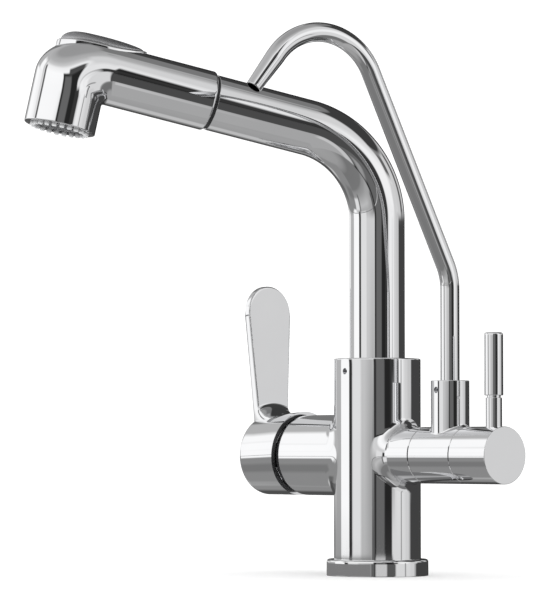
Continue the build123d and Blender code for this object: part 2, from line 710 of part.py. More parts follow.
def filter_set_screw():
    tip = POST_BORE_D / 2 - RUN - SCREW_GROOVE_DEPTH + CLEAR
    length = POST_D / 2 - SET_SCREW_SINK - tip
    return front_hole(POST_SCREW_Z, POST_X) * (Pos(0, 0, tip) * set_screw(SET_SCREW_D - 2 * SEAT, length))


# Main spout
def spout_path(start, reach):
    """Centre line of the main spout from a height to a reach beyond its corner."""
    corner = Vector(0, SPOUT_CORNER_Z)
    end = corner + Vector(cos(radians(SPOUT_RISE)), sin(radians(SPOUT_RISE))) * reach
    return SPOUT * FilletPolyline((0, start), corner, end, radius=SPOUT_BEND_R)


def spout_tube():
    path = spout_path(TUBE_FOOT, SPOUT_REACH)
    return along(path, TUBE_D) - along(path, TUBE_BORE_D)


def spout_thrust_washer():
    return ring(SOCKET_D - 2 * SEAT, HOSE_WAY_D, SOCKET_FLOOR, SOCKET_FLOOR + WASHER_H)


def spout_lower_bush():
    return ring(SOCKET_D - 2 * SEAT, TUBE_D + 2 * RUN, LOWER_BUSH_Z, LOWER_BUSH_Z + LOWER_BUSH_H)


def spout_upper_bush():
    return ring(SOCKET_D - 2 * SEAT, TUBE_D + 2 * RUN, UPPER_BUSH_Z, UPPER_BUSH_Z + UPPER_BUSH_H)


def spout_collar():
    """Ring on the tube that the set screw keeps from lifting out."""
    return ring(SOCKET_D - 2 * CLEAR, TUBE_D + 2 * SEAT, COLLAR_Z, COLLAR_TOP)


def spout_set_screw():
    tip = TUBE_D / 2 + CLEAR
    length = BODY_D / 2 - SET_SCREW_SINK - tip
    return front_hole(SPOUT_SCREW_Z, 0) * (Pos(0, 0, tip) * set_screw(SET_SCREW_D - 2 * SEAT, length))


def dock_collar():
    """Plastic sleeve in the spout's end that the spray head docks into."""
    sleeve = ring(TUBE_BORE_D - 2 * SEAT, DOCK_BORE_D, -DOCK_L, 0)
    return HEAD * (sleeve + ring(DOCK_LIP_D, DOCK_BORE_D, 0, DOCK_LIP_H))


# Spray head
def elbow_reach(angle):
    """Distance from the elbow's inner centre to the head's outer skin at an angle."""
    inner_x = -HEAD_D / 2 - ELBOW_INNER_R
    inner_z = NOZZLE_OUT - NOZZLE_D / 2 - ELBOW_INNER_R
    top = (HEAD_D / 2 - inner_x) / max(cos(angle), NEAR)
    front = (NOZZLE_OUT + NOZZLE_D / 2 - inner_z) / max(sin(angle), NEAR)
    centre_x = HEAD_D / 2 - ELBOW_OUTER_R
    centre_z = NOZZLE_OUT + NOZZLE_D / 2 - ELBOW_OUTER_R
    along_ray = (centre_x - inner_x) * cos(angle) + (centre_z - inner_z) * sin(angle)
    across_ray = (centre_x - inner_x) * sin(angle) - (centre_z - inner_z) * cos(angle)
    rounded = along_ray + sqrt(max(ELBOW_OUTER_R ** 2 - across_ray ** 2, 0))
    in_corner = inner_x + rounded * cos(angle) > centre_x and inner_z + rounded * sin(angle) > centre_z
    return rounded if in_corner else min(top, front)


def elbow_section(angle, inset):
    """Oval section of the head's elbow, in a plane through its inner centre."""
    inner_x = -HEAD_D / 2 - ELBOW_INNER_R
    inner_z = NOZZLE_OUT - NOZZLE_D / 2 - ELBOW_INNER_R
    far = elbow_reach(angle) - inset
    near = max(ELBOW_INNER_R + inset, SEAT)
    middle = (far + near) / 2
    half_height = (far - near) / 2
    share = 2 * angle / radians(180)
    half_width = (HEAD_D + (NOZZLE_D - HEAD_D) * share) / 2 - inset
    centre = (inner_x + middle * cos(angle), 0, inner_z + middle * sin(angle))
    plane = Plane(origin=centre, x_dir=(cos(angle), 0, sin(angle)), z_dir=(-sin(angle), 0, cos(angle)))
    return plane * Ellipse(half_height, half_width)


def head_form(inset, overrun):
    """Solid of the spray head's skin drawn in by an inset, run past both ends by an overrun."""
    handle = drum(HEAD_D - 2 * inset, HEAD_RIM - overrun, NOZZLE_OUT - NOZZLE_D / 2 - ELBOW_INNER_R)
    elbow = loft([elbow_section(radians(angle), inset) for angle in ELBOW_ANGLES])
    nozzle = drum(NOZZLE_D - 2 * inset, HEAD_D / 2 + ELBOW_INNER_R, NOZZLE_DROP + overrun)
    return handle + elbow + NOZZLE_IN_HEAD * nozzle


def rocker_oval(length, width, low):
    """Oval prism that stands on the head, from a height above the handle's axis."""
    oval = Ellipse(length / 2, width / 2)
    prism = extrude(oval, amount=HEAD_D)
    frame = Plane(origin=(low, 0, ROCKER_OUT), x_dir=(0, 0, 1), z_dir=(1, 0, 0))
    return frame * prism


def head_shell():
    shell = head_form(0, 0)
    shell = fillet(outer_edge(shell, HEAD_RIM), HEAD_EDGE)
    face_edges = shell.edges().filter_by(GeomType.CIRCLE).group_by(Axis.X)[0]
    shell = fillet(face_edges, NOZZLE_LIP)
    shell -= head_form(HEAD_WALL, OVERCUT)
    well = rocker_oval(BEZEL_L + 2 * SEAT, BEZEL_W + 2 * SEAT, BEZEL_FLOOR_H - OVERCUT)
    return HEAD * (shell - well)


def rocker_bezel():
    """Cup set into the head that carries the rocker's pin."""
    cup = rocker_oval(BEZEL_L, BEZEL_W, BEZEL_FLOOR_H) & head_form(-BEZEL_PROUD, 0)
    inside = BEZEL_FLOOR_H + BEZEL_FLOOR_T
    cup -= rocker_oval(BEZEL_L - 2 * BEZEL_WALL, BEZEL_W - 2 * BEZEL_WALL, inside)
    cup -= rocker_pin_bar(ROCKER_PIN_D + 2 * SEAT)
    return HEAD * (cup - spool_bar(SPOOL_D + 2 * CLEAR, SPOOL_L))


def rocker_pin_bar(diameter):
    """Bar across the head at the rocker's pivot."""
    bar = Rot(90, 0, 0) * Cylinder(diameter / 2, BEZEL_W - BEZEL_WALL)
    return Pos(ROCKER_PIN_H, 0, ROCKER_OUT) * bar


def rocker_pin():
    return HEAD * rocker_pin_bar(ROCKER_PIN_D)


def button_crown():
    """Barrel about the handle's axis whose skin is the top of the rocker."""
    half = degrees(asin(BEZEL_L / BUTTON_CROWN_R))
    centre = (HEAD_D / 2 + BUTTON_PROUD - BUTTON_CROWN_R, BUTTON_CROWN_OUT)
    arc = CenterArc(centre, BUTTON_CROWN_R, -half, 2 * half)
    low = arc @ 0
    high = arc @ 1
    profile = make_face([arc, Polyline(high, (0, high.Y), (0, low.Y), low)])
    return revolve(Plane.XZ * profile, Axis.Z)


def rocker_button():
    trim = 2 * BEZEL_WALL + 2 * BUTTON_GAP
    button = rocker_oval(BEZEL_L - trim, BEZEL_W - trim, BUTTON_UNDER_H) & button_crown()
    rib_outline = Rectangle(BEZEL_W - trim - 2 * BEZEL_WALL, ROCKER_RIB_L)
    rib_foot = Plane(origin=(ROCKER_RIB_H, 0, ROCKER_OUT), x_dir=(0, 1, 0), z_dir=(1, 0, 0))
    button += rib_foot * extrude(rib_outline, amount=BUTTON_UNDER_H + OVERCUT - ROCKER_RIB_H)
    return HEAD * (button - rocker_pin_bar(ROCKER_PIN_D + 2 * RUN))


def spool_bar(diameter, length):
    """Bar square to the handle's axis, under the front of the rocker."""
    top = BUTTON_UNDER_H - CLEAR
    frame = Plane(origin=(top, 0, ROCKER_OUT + SPOOL_OUT), x_dir=(0, 0, 1), z_dir=(-1, 0, 0))
    return frame * drum(diameter, 0, length)


def diverter_spool():
    return HEAD * spool_bar(SPOOL_D, SPOOL_L)


def diverter_block():
    """Valve body in the nozzle that sends water to the aerator or to the nubs."""
    block = drum(NOZZLE_BORE_D - 2 * SEAT, DIVERTER_FACE - DIVERTER_FLANGE_T, DIVERTER_FACE)
    block += drum(DIVERTER_D, DIVERTER_TOP, DIVERTER_FACE)
    block -= drum(DIVERTER_PORT_D, DIVERTER_FACE - DIVERTER_PORT_L, DIVERTER_FACE + OVERCUT)
    return NOZZLE * block - HEAD * spool_bar(SPOOL_D + 2 * RUN, SPOOL_L + SPOOL_ROOM)


def head_inlet():
    end = HEAD_RIM + INLET_FLANGE_L
    inlet = drum(HEAD_BORE_D - 2 * SEAT, HEAD_RIM, end)
    inlet += drum(DOCK_BORE_D - 2 * CLEAR, -INLET_BACK_L, end)
    return HEAD * (inlet - drum(INLET_BORE_D, -INLET_BACK_L - OVERCUT, end + OVERCUT))


def check_valve():
    start = -INLET_BACK_L + CHECK_SINK
    return HEAD * ring(INLET_BORE_D - 2 * SEAT, INLET_BORE_D / 2, start, start + CHECK_L)


def head_waterway():
    start = HEAD_RIM + INLET_FLANGE_L
    tube = Pos(-WATERWAY_DROP, 0, 0) * ring(WATERWAY_D, WATERWAY_D - 2 * WATERWAY_WALL, start, NOZZLE_OUT)
    return HEAD * (tube - NOZZLE_IN_HEAD * drum(DIVERTER_D, -HEAD_D, NOZZLE_DROP))


def hose_nut():
    start = -INLET_BACK_L - HOSE_NUT_L
    hexagon = RegularPolygon(HOSE_NUT_FLATS / 2, 6, major_radius=False)
    nut = Pos(0, 0, start) * extrude(hexagon, amount=HOSE_NUT_L)
    nut -= drum(HOSE_D + 2 * SEAT, start - OVERCUT, start + HOSE_GRIP + SEAT)
    return HEAD * (nut - drum(INLET_BORE_D, start, 0))


def pull_out_hose():
    reach = SPOUT_REACH - INLET_BACK_L - HOSE_NUT_L + HOSE_GRIP
    path = spout_path(HOSE_FOOT, reach)
    return along(path, HOSE_D) - along(path, HOSE_BORE_D)


def nub_places():
    """Places of the spray nubs, ring by ring."""
    places = []
    for radius, count in ((NUB_OUTER_R, NUB_OUTER_COUNT), (NUB_INNER_R, NUB_INNER_COUNT)):
        for step in range(count):
            places.append(Rot(0, 0, step * 360 / count) * Pos(radius, 0, 0))
    return places


def spray_plate():
    plate = drum(NOZZLE_BORE_D - 2 * SEAT, MAT_FACE, PLATE_FACE)
    plate -= drum(AERATOR_D + 2 * SEAT, MAT_FACE - OVERCUT, PLATE_FACE + OVERCUT)
    hole = drum(NUB_ROOT_D + 2 * SEAT, MAT_FACE - OVERCUT, PLATE_FACE + OVERCUT)
    return NOZZLE * (plate - [place * hole for place in nub_places()])


def nozzle_mat():
    """Silicone mat behind the plate; its nubs stand out through the plate's holes."""
    mat = ring(NOZZLE_BORE_D - 4 * SEAT, AERATOR_D + 2 * SEAT, DIVERTER_FACE, MAT_FACE)
    height = PLATE_T + NUB_PROUD
    nub = Pos(0, 0, MAT_FACE + height / 2) * Cone(NUB_ROOT_D / 2, NUB_TIP_D / 2, height)
    return NOZZLE * (mat + [place * nub for place in nub_places()])


def aerator():
    face = DIVERTER_FACE + AERATOR_T
    insert = drum(AERATOR_D, DIVERTER_FACE, face)
    for step in range(AERATOR_SLOTS):
        middle_d = AERATOR_D * (step + 1) / (AERATOR_SLOTS + 1)
        floor = face - AERATOR_SLOT_DEEP
        insert -= ring(middle_d + AERATOR_SLOT_W, middle_d - AERATOR_SLOT_W, floor, face)
    return NOZZLE * insert


PIECES = (
    base_flange, base_gasket, main_body, inlet_block, hose_guide_bush,
    mixer_cartridge, cartridge_seal, cartridge_nut, trim_ring, cartridge_rotor, pivot_pin, cartridge_stem,
    lever_handle, lever_grub_screw, lever_plug,
    filter_nipple, filter_valve_housing, filter_headwork, filter_stem, filter_knob, knob_grub_screw,
    filter_lever_stem, filter_lever_grip, filter_spout_tube, filter_spigot, filter_o_rings, filter_set_screw,
    spout_tube, spout_thrust_washer, spout_lower_bush, spout_upper_bush, spout_collar, spout_set_screw,
    dock_collar, head_shell, rocker_bezel, rocker_pin, rocker_button, diverter_spool, diverter_block,
    head_inlet, check_valve, head_waterway, hose_nut, pull_out_hose, spray_plate, nozzle_mat, aerator,
)

os.makedirs("parts", exist_ok=True)
for piece in PIECES:
    export_step(piece(), f"parts/{piece.__name__}.step")
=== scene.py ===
# %% [markdown]
# A kitchen mixer tap in polished chrome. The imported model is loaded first, as a frame that never moves.
# Every piece that is made later is in metres and in that same frame, so it goes where the solids say and
# needs no fitting afterwards.

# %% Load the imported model
from math import asin, atan2, cos, pi, radians, sin, sqrt, tan
import bmesh
import bpy
from mathutils import Matrix, Vector
from mathutils.bvhtree import BVHTree


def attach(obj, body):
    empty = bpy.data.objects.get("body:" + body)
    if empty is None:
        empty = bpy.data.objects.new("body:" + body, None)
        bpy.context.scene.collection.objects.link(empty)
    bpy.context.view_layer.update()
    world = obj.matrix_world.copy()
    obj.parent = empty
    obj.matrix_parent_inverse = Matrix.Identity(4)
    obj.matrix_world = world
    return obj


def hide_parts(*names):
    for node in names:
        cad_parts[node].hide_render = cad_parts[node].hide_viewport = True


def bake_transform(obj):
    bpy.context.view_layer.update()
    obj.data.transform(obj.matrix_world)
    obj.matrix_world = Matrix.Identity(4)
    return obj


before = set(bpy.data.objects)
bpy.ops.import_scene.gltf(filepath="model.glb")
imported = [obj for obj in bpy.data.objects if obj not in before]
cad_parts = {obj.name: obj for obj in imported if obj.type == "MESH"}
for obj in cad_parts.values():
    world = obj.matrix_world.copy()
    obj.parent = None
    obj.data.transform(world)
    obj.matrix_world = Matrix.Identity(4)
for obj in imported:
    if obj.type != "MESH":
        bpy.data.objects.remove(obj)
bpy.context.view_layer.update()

# %% [markdown]
# Shader maths is easier to read as an expression than as a picture of boxes and wires. A Wire holds one
# output of a node, and an operator on it adds a Math node, so that a finish becomes a few lines of
# arithmetic.

# %% Wires
class Wire:
    """One output socket, with arithmetic that adds Math nodes."""

    def __init__(self, recipe, socket):
        self.recipe = recipe
        self.socket = socket

    def maths(self, operation, first, second):
        settings = {"operation": operation}
        return self.recipe.node("ShaderNodeMath", settings, {0: first, 1: second})

    def __add__(self, other):
        return self.maths("ADD", self, other)

    def __radd__(self, other):
        return self.maths("ADD", other, self)

    def __sub__(self, other):
        return self.maths("SUBTRACT", self, other)

    def __rsub__(self, other):
        return self.maths("SUBTRACT", other, self)

    def __mul__(self, other):
        return self.maths("MULTIPLY", self, other)

    def __rmul__(self, other):
        return self.maths("MULTIPLY", other, self)

    def __truediv__(self, other):
        return self.maths("DIVIDE", self, other)

    def __rtruediv__(self, other):
        return self.maths("DIVIDE", other, self)

    def clamped(self, low, high):
        """Where this value lies between two limits, as a share from 0 to 1."""
        sockets = {"Value": self, "From Min": low, "From Max": high}
        return self.recipe.node("ShaderNodeMapRange", {"clamp": True}, sockets)


# %% [markdown]
# A Recipe holds one node tree, and one method adds any kind of node to it: the settings come first, then
# the sockets, which take values or wires. The short methods under it are what most finishes share: a
# distance along a direction, cloudy noise, a mix of two colours and a small relief.

# %% Recipes
class Recipe:
    """A node tree that is written from its inputs to its output."""

    def __init__(self, tree):
        self.tree = tree
        self.tree.nodes.clear()

    def node(self, kind, settings=None, sockets=None, out=0):
        """Add a node: its settings come first, then the values or wires of its sockets."""
        made = self.tree.nodes.new(kind)
        for name, value in (settings or {}).items():
            if name == "stops":
                self.stops(made.color_ramp, value)
            else:
                setattr(made, name, value)
        for name, value in (sockets or {}).items():
            if isinstance(value, Wire):
                self.tree.links.new(value.socket, made.inputs[name])
            else:
                made.inputs[name].default_value = value
        return Wire(self, made.outputs[out]) if made.outputs else None

    def stops(self, ramp, stops):
        """Give a colour ramp its stops, as pairs of a place and a grey or a colour."""
        ramp.elements.remove(ramp.elements[1])
        ramp.elements[0].position = stops[0][0]
        for place, colour in stops:
            element = ramp.elements[0] if place == stops[0][0] else ramp.elements.new(place)
            element.color = colour if isinstance(colour, tuple) else (colour, colour, colour, 1.0)

    def coords(self):
        """Object coordinates, in metres."""
        return self.node("ShaderNodeTexCoord", out="Object")

    def along(self, axis, origin=Vector((0.0, 0.0, 0.0))):
        """Distance along an axis from a point, in metres, for a pattern that follows the piece."""
        settings = {"operation": "DOT_PRODUCT"}
        distance = self.node("ShaderNodeVectorMath", settings, {0: self.coords(), 1: axis}, out="Value")
        return distance - axis.dot(origin)

    def noise(self, scale, detail):
        """Soft cloudy values between 0 and 1, at so many cells to the metre."""
        sockets = {"Vector": self.coords(), "Scale": scale, "Detail": detail}
        return self.node("ShaderNodeTexNoise", None, sockets)

    def blend(self, share, first, second):
        """Mix of two colours."""
        settings = {"data_type": "RGBA"}
        sockets = {0: share, 6: first, 7: second}
        return self.node("ShaderNodeMix", settings, sockets, out=2)

    def bump(self, height, depth, strength):
        """Small relief, with its depth in metres."""
        sockets = {"Height": height, "Distance": depth, "Strength": strength}
        return self.node("ShaderNodeBump", None, sockets)


def finish(name, make):
    """A material whose surface is one Principled shader; make returns its sockets."""
    material = bpy.data.materials.new(name)
    material.use_nodes = True
    recipe = Recipe(material.node_tree)
    shader = recipe.node("ShaderNodeBsdfPrincipled", None, make(recipe))
    recipe.node("ShaderNodeOutputMaterial", None, {"Surface": shader})
    print("finish", name, "has", len(material.node_tree.nodes), "nodes")
    return material


# %% [markdown]
# Chrome is almost a mirror, so what it shows is the room. A flat grey would look like paint, and a
# painted reflection would slide when the tap turns, so the plating is left to mirror a room that is made
# later. It only adds a faint haze: the colour drifts by a percent or two, and the polish is not equally
# deep everywhere. Brass and steel are duller, with stains and a fine grain.

# %% Metals
def polished_chrome(recipe):
    haze = recipe.noise(38.0, 4.0)
    grain = recipe.noise(900.0, 2.0)
    colour = recipe.blend(haze, (0.86, 0.865, 0.88, 1.0), (0.92, 0.92, 0.925, 1.0))
    rough = 0.008 + 0.01 * haze + 0.006 * grain
    return {"Base Color": colour, "Metallic": 1.0, "Roughness": rough}


def satin_chrome(recipe):
    haze = recipe.noise(60.0, 4.0)
    grain = recipe.noise(2600.0, 2.0)
    colour = recipe.blend(haze, (0.52, 0.525, 0.54, 1.0), (0.60, 0.60, 0.61, 1.0))
    return {"Base Color": colour, "Metallic": 1.0, "Roughness": 0.36 + 0.1 * grain,
            "Normal": recipe.bump(grain, 0.00002, 0.2)}


def cast_brass(recipe):
    stain = recipe.noise(90.0, 5.0)
    grain = recipe.noise(1500.0, 2.0)
    colour = recipe.blend(stain, (0.62, 0.42, 0.16, 1.0), (0.80, 0.58, 0.27, 1.0))
    return {"Base Color": colour, "Metallic": 1.0, "Roughness": 0.26 + 0.2 * stain,
            "Normal": recipe.bump(grain, 0.00004, 0.4)}


def bright_steel(recipe):
    stain = recipe.noise(120.0, 4.0)
    grain = recipe.noise(1800.0, 2.0)
    colour = recipe.blend(stain, (0.42, 0.43, 0.45, 1.0), (0.58, 0.58, 0.6, 1.0))
    return {"Base Color": colour, "Metallic": 1.0, "Roughness": 0.22 + 0.14 * grain}


# %% [markdown]
# Rubber and moulded plastic have a bloom: patches that are a little paler and duller than the rest. One
# colour would look like a plain block, so each is a mix of two tones by a soft noise, and the same noise
# changes the gloss. The plastics differ only in their tones and gloss, so one function makes all three.

# %% Rubber and plastics
def black_rubber(recipe):
    bloom = recipe.noise(180.0, 5.0)
    grain = recipe.noise(2400.0, 2.0)
    colour = recipe.blend(bloom, (0.012, 0.012, 0.013, 1.0), (0.035, 0.035, 0.036, 1.0))
    return {"Base Color": colour, "Roughness": 0.55 + 0.2 * bloom,
            "Normal": recipe.bump(grain, 0.00003, 0.5)}


def moulded(dark, light, gloss, spread):
    """Maker of a moulded plastic between two tones, whose gloss drifts with its bloom."""

    def make(recipe):
        bloom = recipe.noise(150.0, 4.0)
        grain = recipe.noise(2200.0, 2.0)
        return {"Base Color": recipe.blend(bloom, dark, light), "Roughness": gloss + spread * bloom,
                "Normal": recipe.bump(grain, 0.00002, 0.4)}

    return make


black_moulding = moulded((0.008, 0.008, 0.009, 1.0), (0.022, 0.022, 0.024, 1.0), 0.3, 0.14)
grey_moulding = moulded((0.12, 0.122, 0.128, 1.0), (0.2, 0.202, 0.208, 1.0), 0.32, 0.16)
white_moulding = moulded((0.70, 0.70, 0.68, 1.0), (0.82, 0.82, 0.80, 1.0), 0.36, 0.14)

# %% [markdown]
# The nubs of the spray are pale silicone, with painted shade: their colour turns near black towards their
# roots and on the mat between them. The hose is braided: two sets of strands wind round it in opposite
# directions, and their product is the weave. Both patterns follow the spout, not the world's axes, so its
# direction is needed here, and distances are measured along it and round it.

# %% Silicone with painted shade, and braid
SPOUT_TURN = -112.7
SPOUT_RISE = radians(12.3)
NUB_TIPS = 0.2046
NUB_SHADE = 0.0028
STRANDS = 14
STRAND_PITCH = 0.0034


def plan(turn):
    """Level direction at an angle from the tap's X axis."""
    return Vector((cos(radians(turn)), sin(radians(turn)), 0.0))


SPOUT_AXIS = plan(SPOUT_TURN) * cos(SPOUT_RISE) + Vector((0, 0, sin(SPOUT_RISE)))
HEAD_UP = Vector((0, 0, cos(SPOUT_RISE))) - plan(SPOUT_TURN) * sin(SPOUT_RISE)
HOSE_MIDDLE = Vector((0.0, 0.0, 0.2479))


def silicone_with_painted_shade(recipe):
    bloom = recipe.noise(260.0, 4.0)
    height = recipe.along(HEAD_UP)
    # Painted shade: from the nub tips down over NUB_SHADE the colour darkens to near black.
    depth = (height - NUB_TIPS).clamped(0.0, NUB_SHADE)
    pale = recipe.blend(bloom, (0.70, 0.71, 0.72, 1.0), (0.80, 0.805, 0.81, 1.0))
    colour = recipe.blend(depth, pale, (0.04, 0.04, 0.042, 1.0))
    return {"Base Color": colour, "Roughness": 0.2 + 0.1 * bloom}


def braided_sleeve(recipe):
    side = recipe.along(SPOUT_AXIS.cross(HEAD_UP), HOSE_MIDDLE)
    turn = side.maths("ARCTAN2", side, recipe.along(HEAD_UP, HOSE_MIDDLE)) * STRANDS
    travel = recipe.along(SPOUT_AXIS, HOSE_MIDDLE) * (2 * pi / STRAND_PITCH)
    over = turn.maths("SINE", turn + travel, 0.0)
    under = turn.maths("SINE", turn - travel, 0.0)
    weave = over * under * 0.5 + 0.5
    grain = recipe.noise(2400.0, 2.0)
    colour = recipe.blend(weave, (0.2, 0.2, 0.205, 1.0), (0.58, 0.58, 0.59, 1.0))
    return {"Base Color": colour, "Roughness": 0.38 + 0.2 * grain,
            "Normal": recipe.bump(weave, 0.0003, 0.8)}


# %% [markdown]
# Each finish is made once and filed under the name of the record's material slot, so that every piece and
# every solid in that slot shares it.

# %% List of finishes
FINISHES = {
    "chrome": finish("polished_chrome", polished_chrome),
    "satin_chrome": finish("satin_chrome", satin_chrome),
    "brass": finish("cast_brass", cast_brass),
    "steel": finish("bright_steel", bright_steel),
    "rubber": finish("black_rubber", black_rubber),
    "silicone": finish("silicone_with_painted_shade", silicone_with_painted_shade),
    "black_plastic": finish("black_plastic", black_moulding),
    "grey_plastic": finish("grey_plastic", grey_moulding),
    "white_plastic": finish("white_plastic", white_moulding),
    "hose": finish("braided_sleeve", braided_sleeve),
}

# %% [markdown]
# The solids that stay in view take their finish from the record's material slots. They could be named one
# by one, but this way a turned brass nut is brass and a seal is rubber without a list that can go out of
# date.

# %% Dress the solids
for name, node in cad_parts.items():
    old = node.material_slots[0].material.name.split(".")[0]
    node.material_slots[0].material = FINISHES[old]
print(len(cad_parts), "solids dressed")

# %% [markdown]
# Pieces are drawn in millimetres, as on a workshop drawing, and set into the tap's frame in metres at the
# end. Most of them are round, so lists of equal angles come back all the time.

# %% Measures, angles and objects
MM = 0.001
MERGE = 0.002
TINY = 0.001
CREASE = radians(35.0)


def around(count):
    """Angles of a full turn in equal steps."""
    return [2 * pi * step / count for step in range(count)]


def quarter(steps):
    """Angles of a quarter turn in equal steps, with both ends."""
    return [radians(90 * step / steps) for step in range(steps + 1)]


def new_object(name, mesh_builder, material):
    """Turn a bmesh into an object at the origin with one material."""
    mesh = bpy.data.meshes.new(name)
    mesh_builder.to_mesh(mesh)
    mesh_builder.free()
    made = bpy.data.objects.new(name, mesh)
    made.data.materials.append(material)
    bpy.context.scene.collection.objects.link(made)
    return made


# %% [markdown]
# A mirror shows every facet, so the plated pieces are modelled again with fine rings. Subdividing the
# solids' triangles would keep their facets. Instead, most pieces are one closed ring of vertices that is
# extruded from station to station: the operator makes the faces, and each new ring is set on the places
# that the piece's own geometry gives.

# %% Growing a skin ring by ring
def grow(builder, ring, places, closed=True):
    """Extrude a ring or a row of vertices and set the new one on its places."""
    ahead = ring[1:] + ring[:1] if closed else ring[1:]
    edges = [builder.edges.get(pair) for pair in zip(ring, ahead)]
    made = bmesh.ops.extrude_edge_only(builder, edges=edges)["geom"]
    fresh = {item for item in made if isinstance(item, bmesh.types.BMVert)}
    following = [next(e.other_vert(v) for e in v.link_edges if e.other_vert(v) in fresh) for v in ring]
    for vert, place in zip(following, places):
        vert.co = place
    return following


def skin(stations, first_end, last_end):
    """Grow one ring through a list of stations; an end is a cap, open, or joined to the other end."""
    builder = bmesh.new()
    first = bmesh.ops.create_circle(builder, segments=len(stations[0]), radius=1.0)["verts"]
    for vert, place in zip(first, stations[0]):
        vert.co = place
    last = first
    for places in stations[1:]:
        last = grow(builder, last, places)
    for ring, end in ((first, first_end), (last, last_end)):
        if end == "cap":
            builder.faces.new(ring)
    if last_end == "joined":
        pairs = list(zip(first, first[1:] + first[:1])) + list(zip(last, last[1:] + last[:1]))
        bmesh.ops.bridge_loops(builder, edges=[builder.edges.get(pair) for pair in pairs])
    return builder


# %% [markdown]
# A piece is easiest to draw along its own axis. A frame then carries it to its place, so its object can
# stay at the origin. Small holes are cut with an exact boolean, which is applied at once, so no modifier
# is left behind.

# %% Placing, joining and cutting
def frame_of(origin, along, side):
    """Matrix of a local frame in millimetres: local Z along the piece, local X to one side."""
    z_axis = Vector(along).normalized()
    x_axis = (Vector(side) - z_axis * z_axis.dot(Vector(side))).normalized()
    turn = Matrix((x_axis, z_axis.cross(x_axis), z_axis)).transposed().to_4x4()
    return Matrix.Translation(Vector(origin) * MM) @ turn @ Matrix.Scale(MM, 4)


def placed(builder, place):
    """Set a piece that was made in its local frame into the tap's frame."""
    bmesh.ops.transform(builder, matrix=place, verts=builder.verts)
    return builder


def joined(*builders):
    """Put several meshes into the first one."""
    for other in builders[1:]:
        carrier = bpy.data.meshes.new("carrier")
        other.to_mesh(carrier)
        other.free()
        builders[0].from_mesh(carrier)
        bpy.data.meshes.remove(carrier)
    return builders[0]


def cut(made, cutter_builder):
    """Cut a hole into an object with a closed mesh."""
    bmesh.ops.recalc_face_normals(cutter_builder, faces=cutter_builder.faces)
    cutter = new_object("cutter", cutter_builder, made.data.materials[0])
    boolean = made.modifiers.new("hole", "BOOLEAN")
    boolean.object = cutter
    boolean.solver = "EXACT"
    shape = bpy.data.meshes.new_from_object(made.evaluated_get(bpy.context.evaluated_depsgraph_get()))
    made.modifiers.clear()
    made.data = shape
    bpy.data.objects.remove(cutter)


# %% [markdown]
# Every piece ends in the same way, so one function does it: doubles are merged, the faces turn outwards,
# the finish is given, the piece is tied to the body that carries it, and the solids that it stands for are
# hidden.

# %% Finished pieces
def piece(name, builder, slot, body, *nodes, holes=()):
    """Close a mesh, smooth it, give it its finish, set it on its body and hide the solids it stands for."""
    bmesh.ops.remove_doubles(builder, verts=builder.verts, dist=MERGE * MM)
    bmesh.ops.recalc_face_normals(builder, faces=builder.faces)
    open_edges = sum(1 for edge in builder.edges if not edge.is_manifold)
    made = new_object(name, builder, FINISHES[slot])
    for hole in holes:
        cut(made, hole)
    made.data.shade_smooth()
    made.data.set_sharp_from_angle(angle=CREASE)
    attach(made, body)
    if nodes:
        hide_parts(*nodes)
    print(name, "has", len(made.data.polygons), "faces and", open_edges, "open edges")
    return made


# %% [markdown]
# The flange, the knob and the pins come off a lathe, so they are half a profile and a spin. A bevel
# modifier could round their edges later, but it would bend the mirror beside them. So a corner is a
# vertex bevel on the profile itself, with a short straight run on each side of it that keeps the flats
# flat.

# %% Turned pieces
SPIN_STEPS = 144
FINE_STEPS = 96
SLIM_STEPS = 64
ROUND_STEPS = 6
RUN = 1.5


def turned(profile, place, steps=SPIN_STEPS):
    """Spin a profile of radius, height and corner radius about Z; it closes unless it meets the axis."""
    builder = bmesh.new()
    chain = []
    corners = []
    for index, (radius, height, rounding) in enumerate(profile):
        here = Vector((radius, 0.0, height))
        corner = builder.verts.new(here)
        if rounding:
            before = Vector((profile[index - 1][0], 0.0, profile[index - 1][1]))
            after = Vector((profile[index + 1][0], 0.0, profile[index + 1][1]))
            run = RUN * rounding
            chain.append(builder.verts.new(here + (before - here).normalized() * run))
            chain.append(corner)
            chain.append(builder.verts.new(here + (after - here).normalized() * run))
            corners.append((corner, rounding))
        else:
            chain.append(corner)
    on_axis = profile[0][0] == 0
    for pair in zip(chain, chain[1:] + ([] if on_axis else chain[:1])):
        builder.edges.new(pair)
    for corner, rounding in corners:
        bmesh.ops.bevel(builder, geom=[corner], offset=rounding, offset_type="OFFSET",
                        segments=ROUND_STEPS, profile=0.5, affect="VERTICES", material=-1)
    geometry = builder.verts[:] + builder.edges[:]
    bmesh.ops.spin(builder, geom=geometry, axis=(0, 0, 1), angle=2 * pi, steps=steps, use_merge=True)
    bmesh.ops.remove_doubles(builder, verts=builder.verts, dist=MERGE)
    return placed(builder, place)


def rod(radius, start, end, place):
    """Plain closed cylinder along local Z."""
    return turned([(0, start, 0), (radius, start, 0), (radius, end, 0), (0, end, 0)], place, SLIM_STEPS)


# %% [markdown]
# The flange is the wide ring at the foot of the body, with a groove under it for the gasket. It is the
# simplest turned piece, and comes first. The three frames are the axes of the drum and of its two
# branches.

# %% Flange
BRANCH_Z = 69.0
UPRIGHT = frame_of((0, 0, 0), (0, 0, 1), (1, 0, 0))
MIXER = frame_of((0, 0, BRANCH_Z), (-1, 0, 0), (0, 0, 1))
FILTER = frame_of((0, 0, BRANCH_Z), (1, 0, 0), (0, 0, 1))

FLANGE_R = 29.25
FLANGE_H = 9.5
FLANGE_BORE = 22.55
FLANGE_ROUND = 1.5
GASKET_IN, GASKET_OUT, GASKET_H = 23.95, 26.5, 2.0
GROOVE_ROUND = 0.15
EDGE_ROUND = 0.3

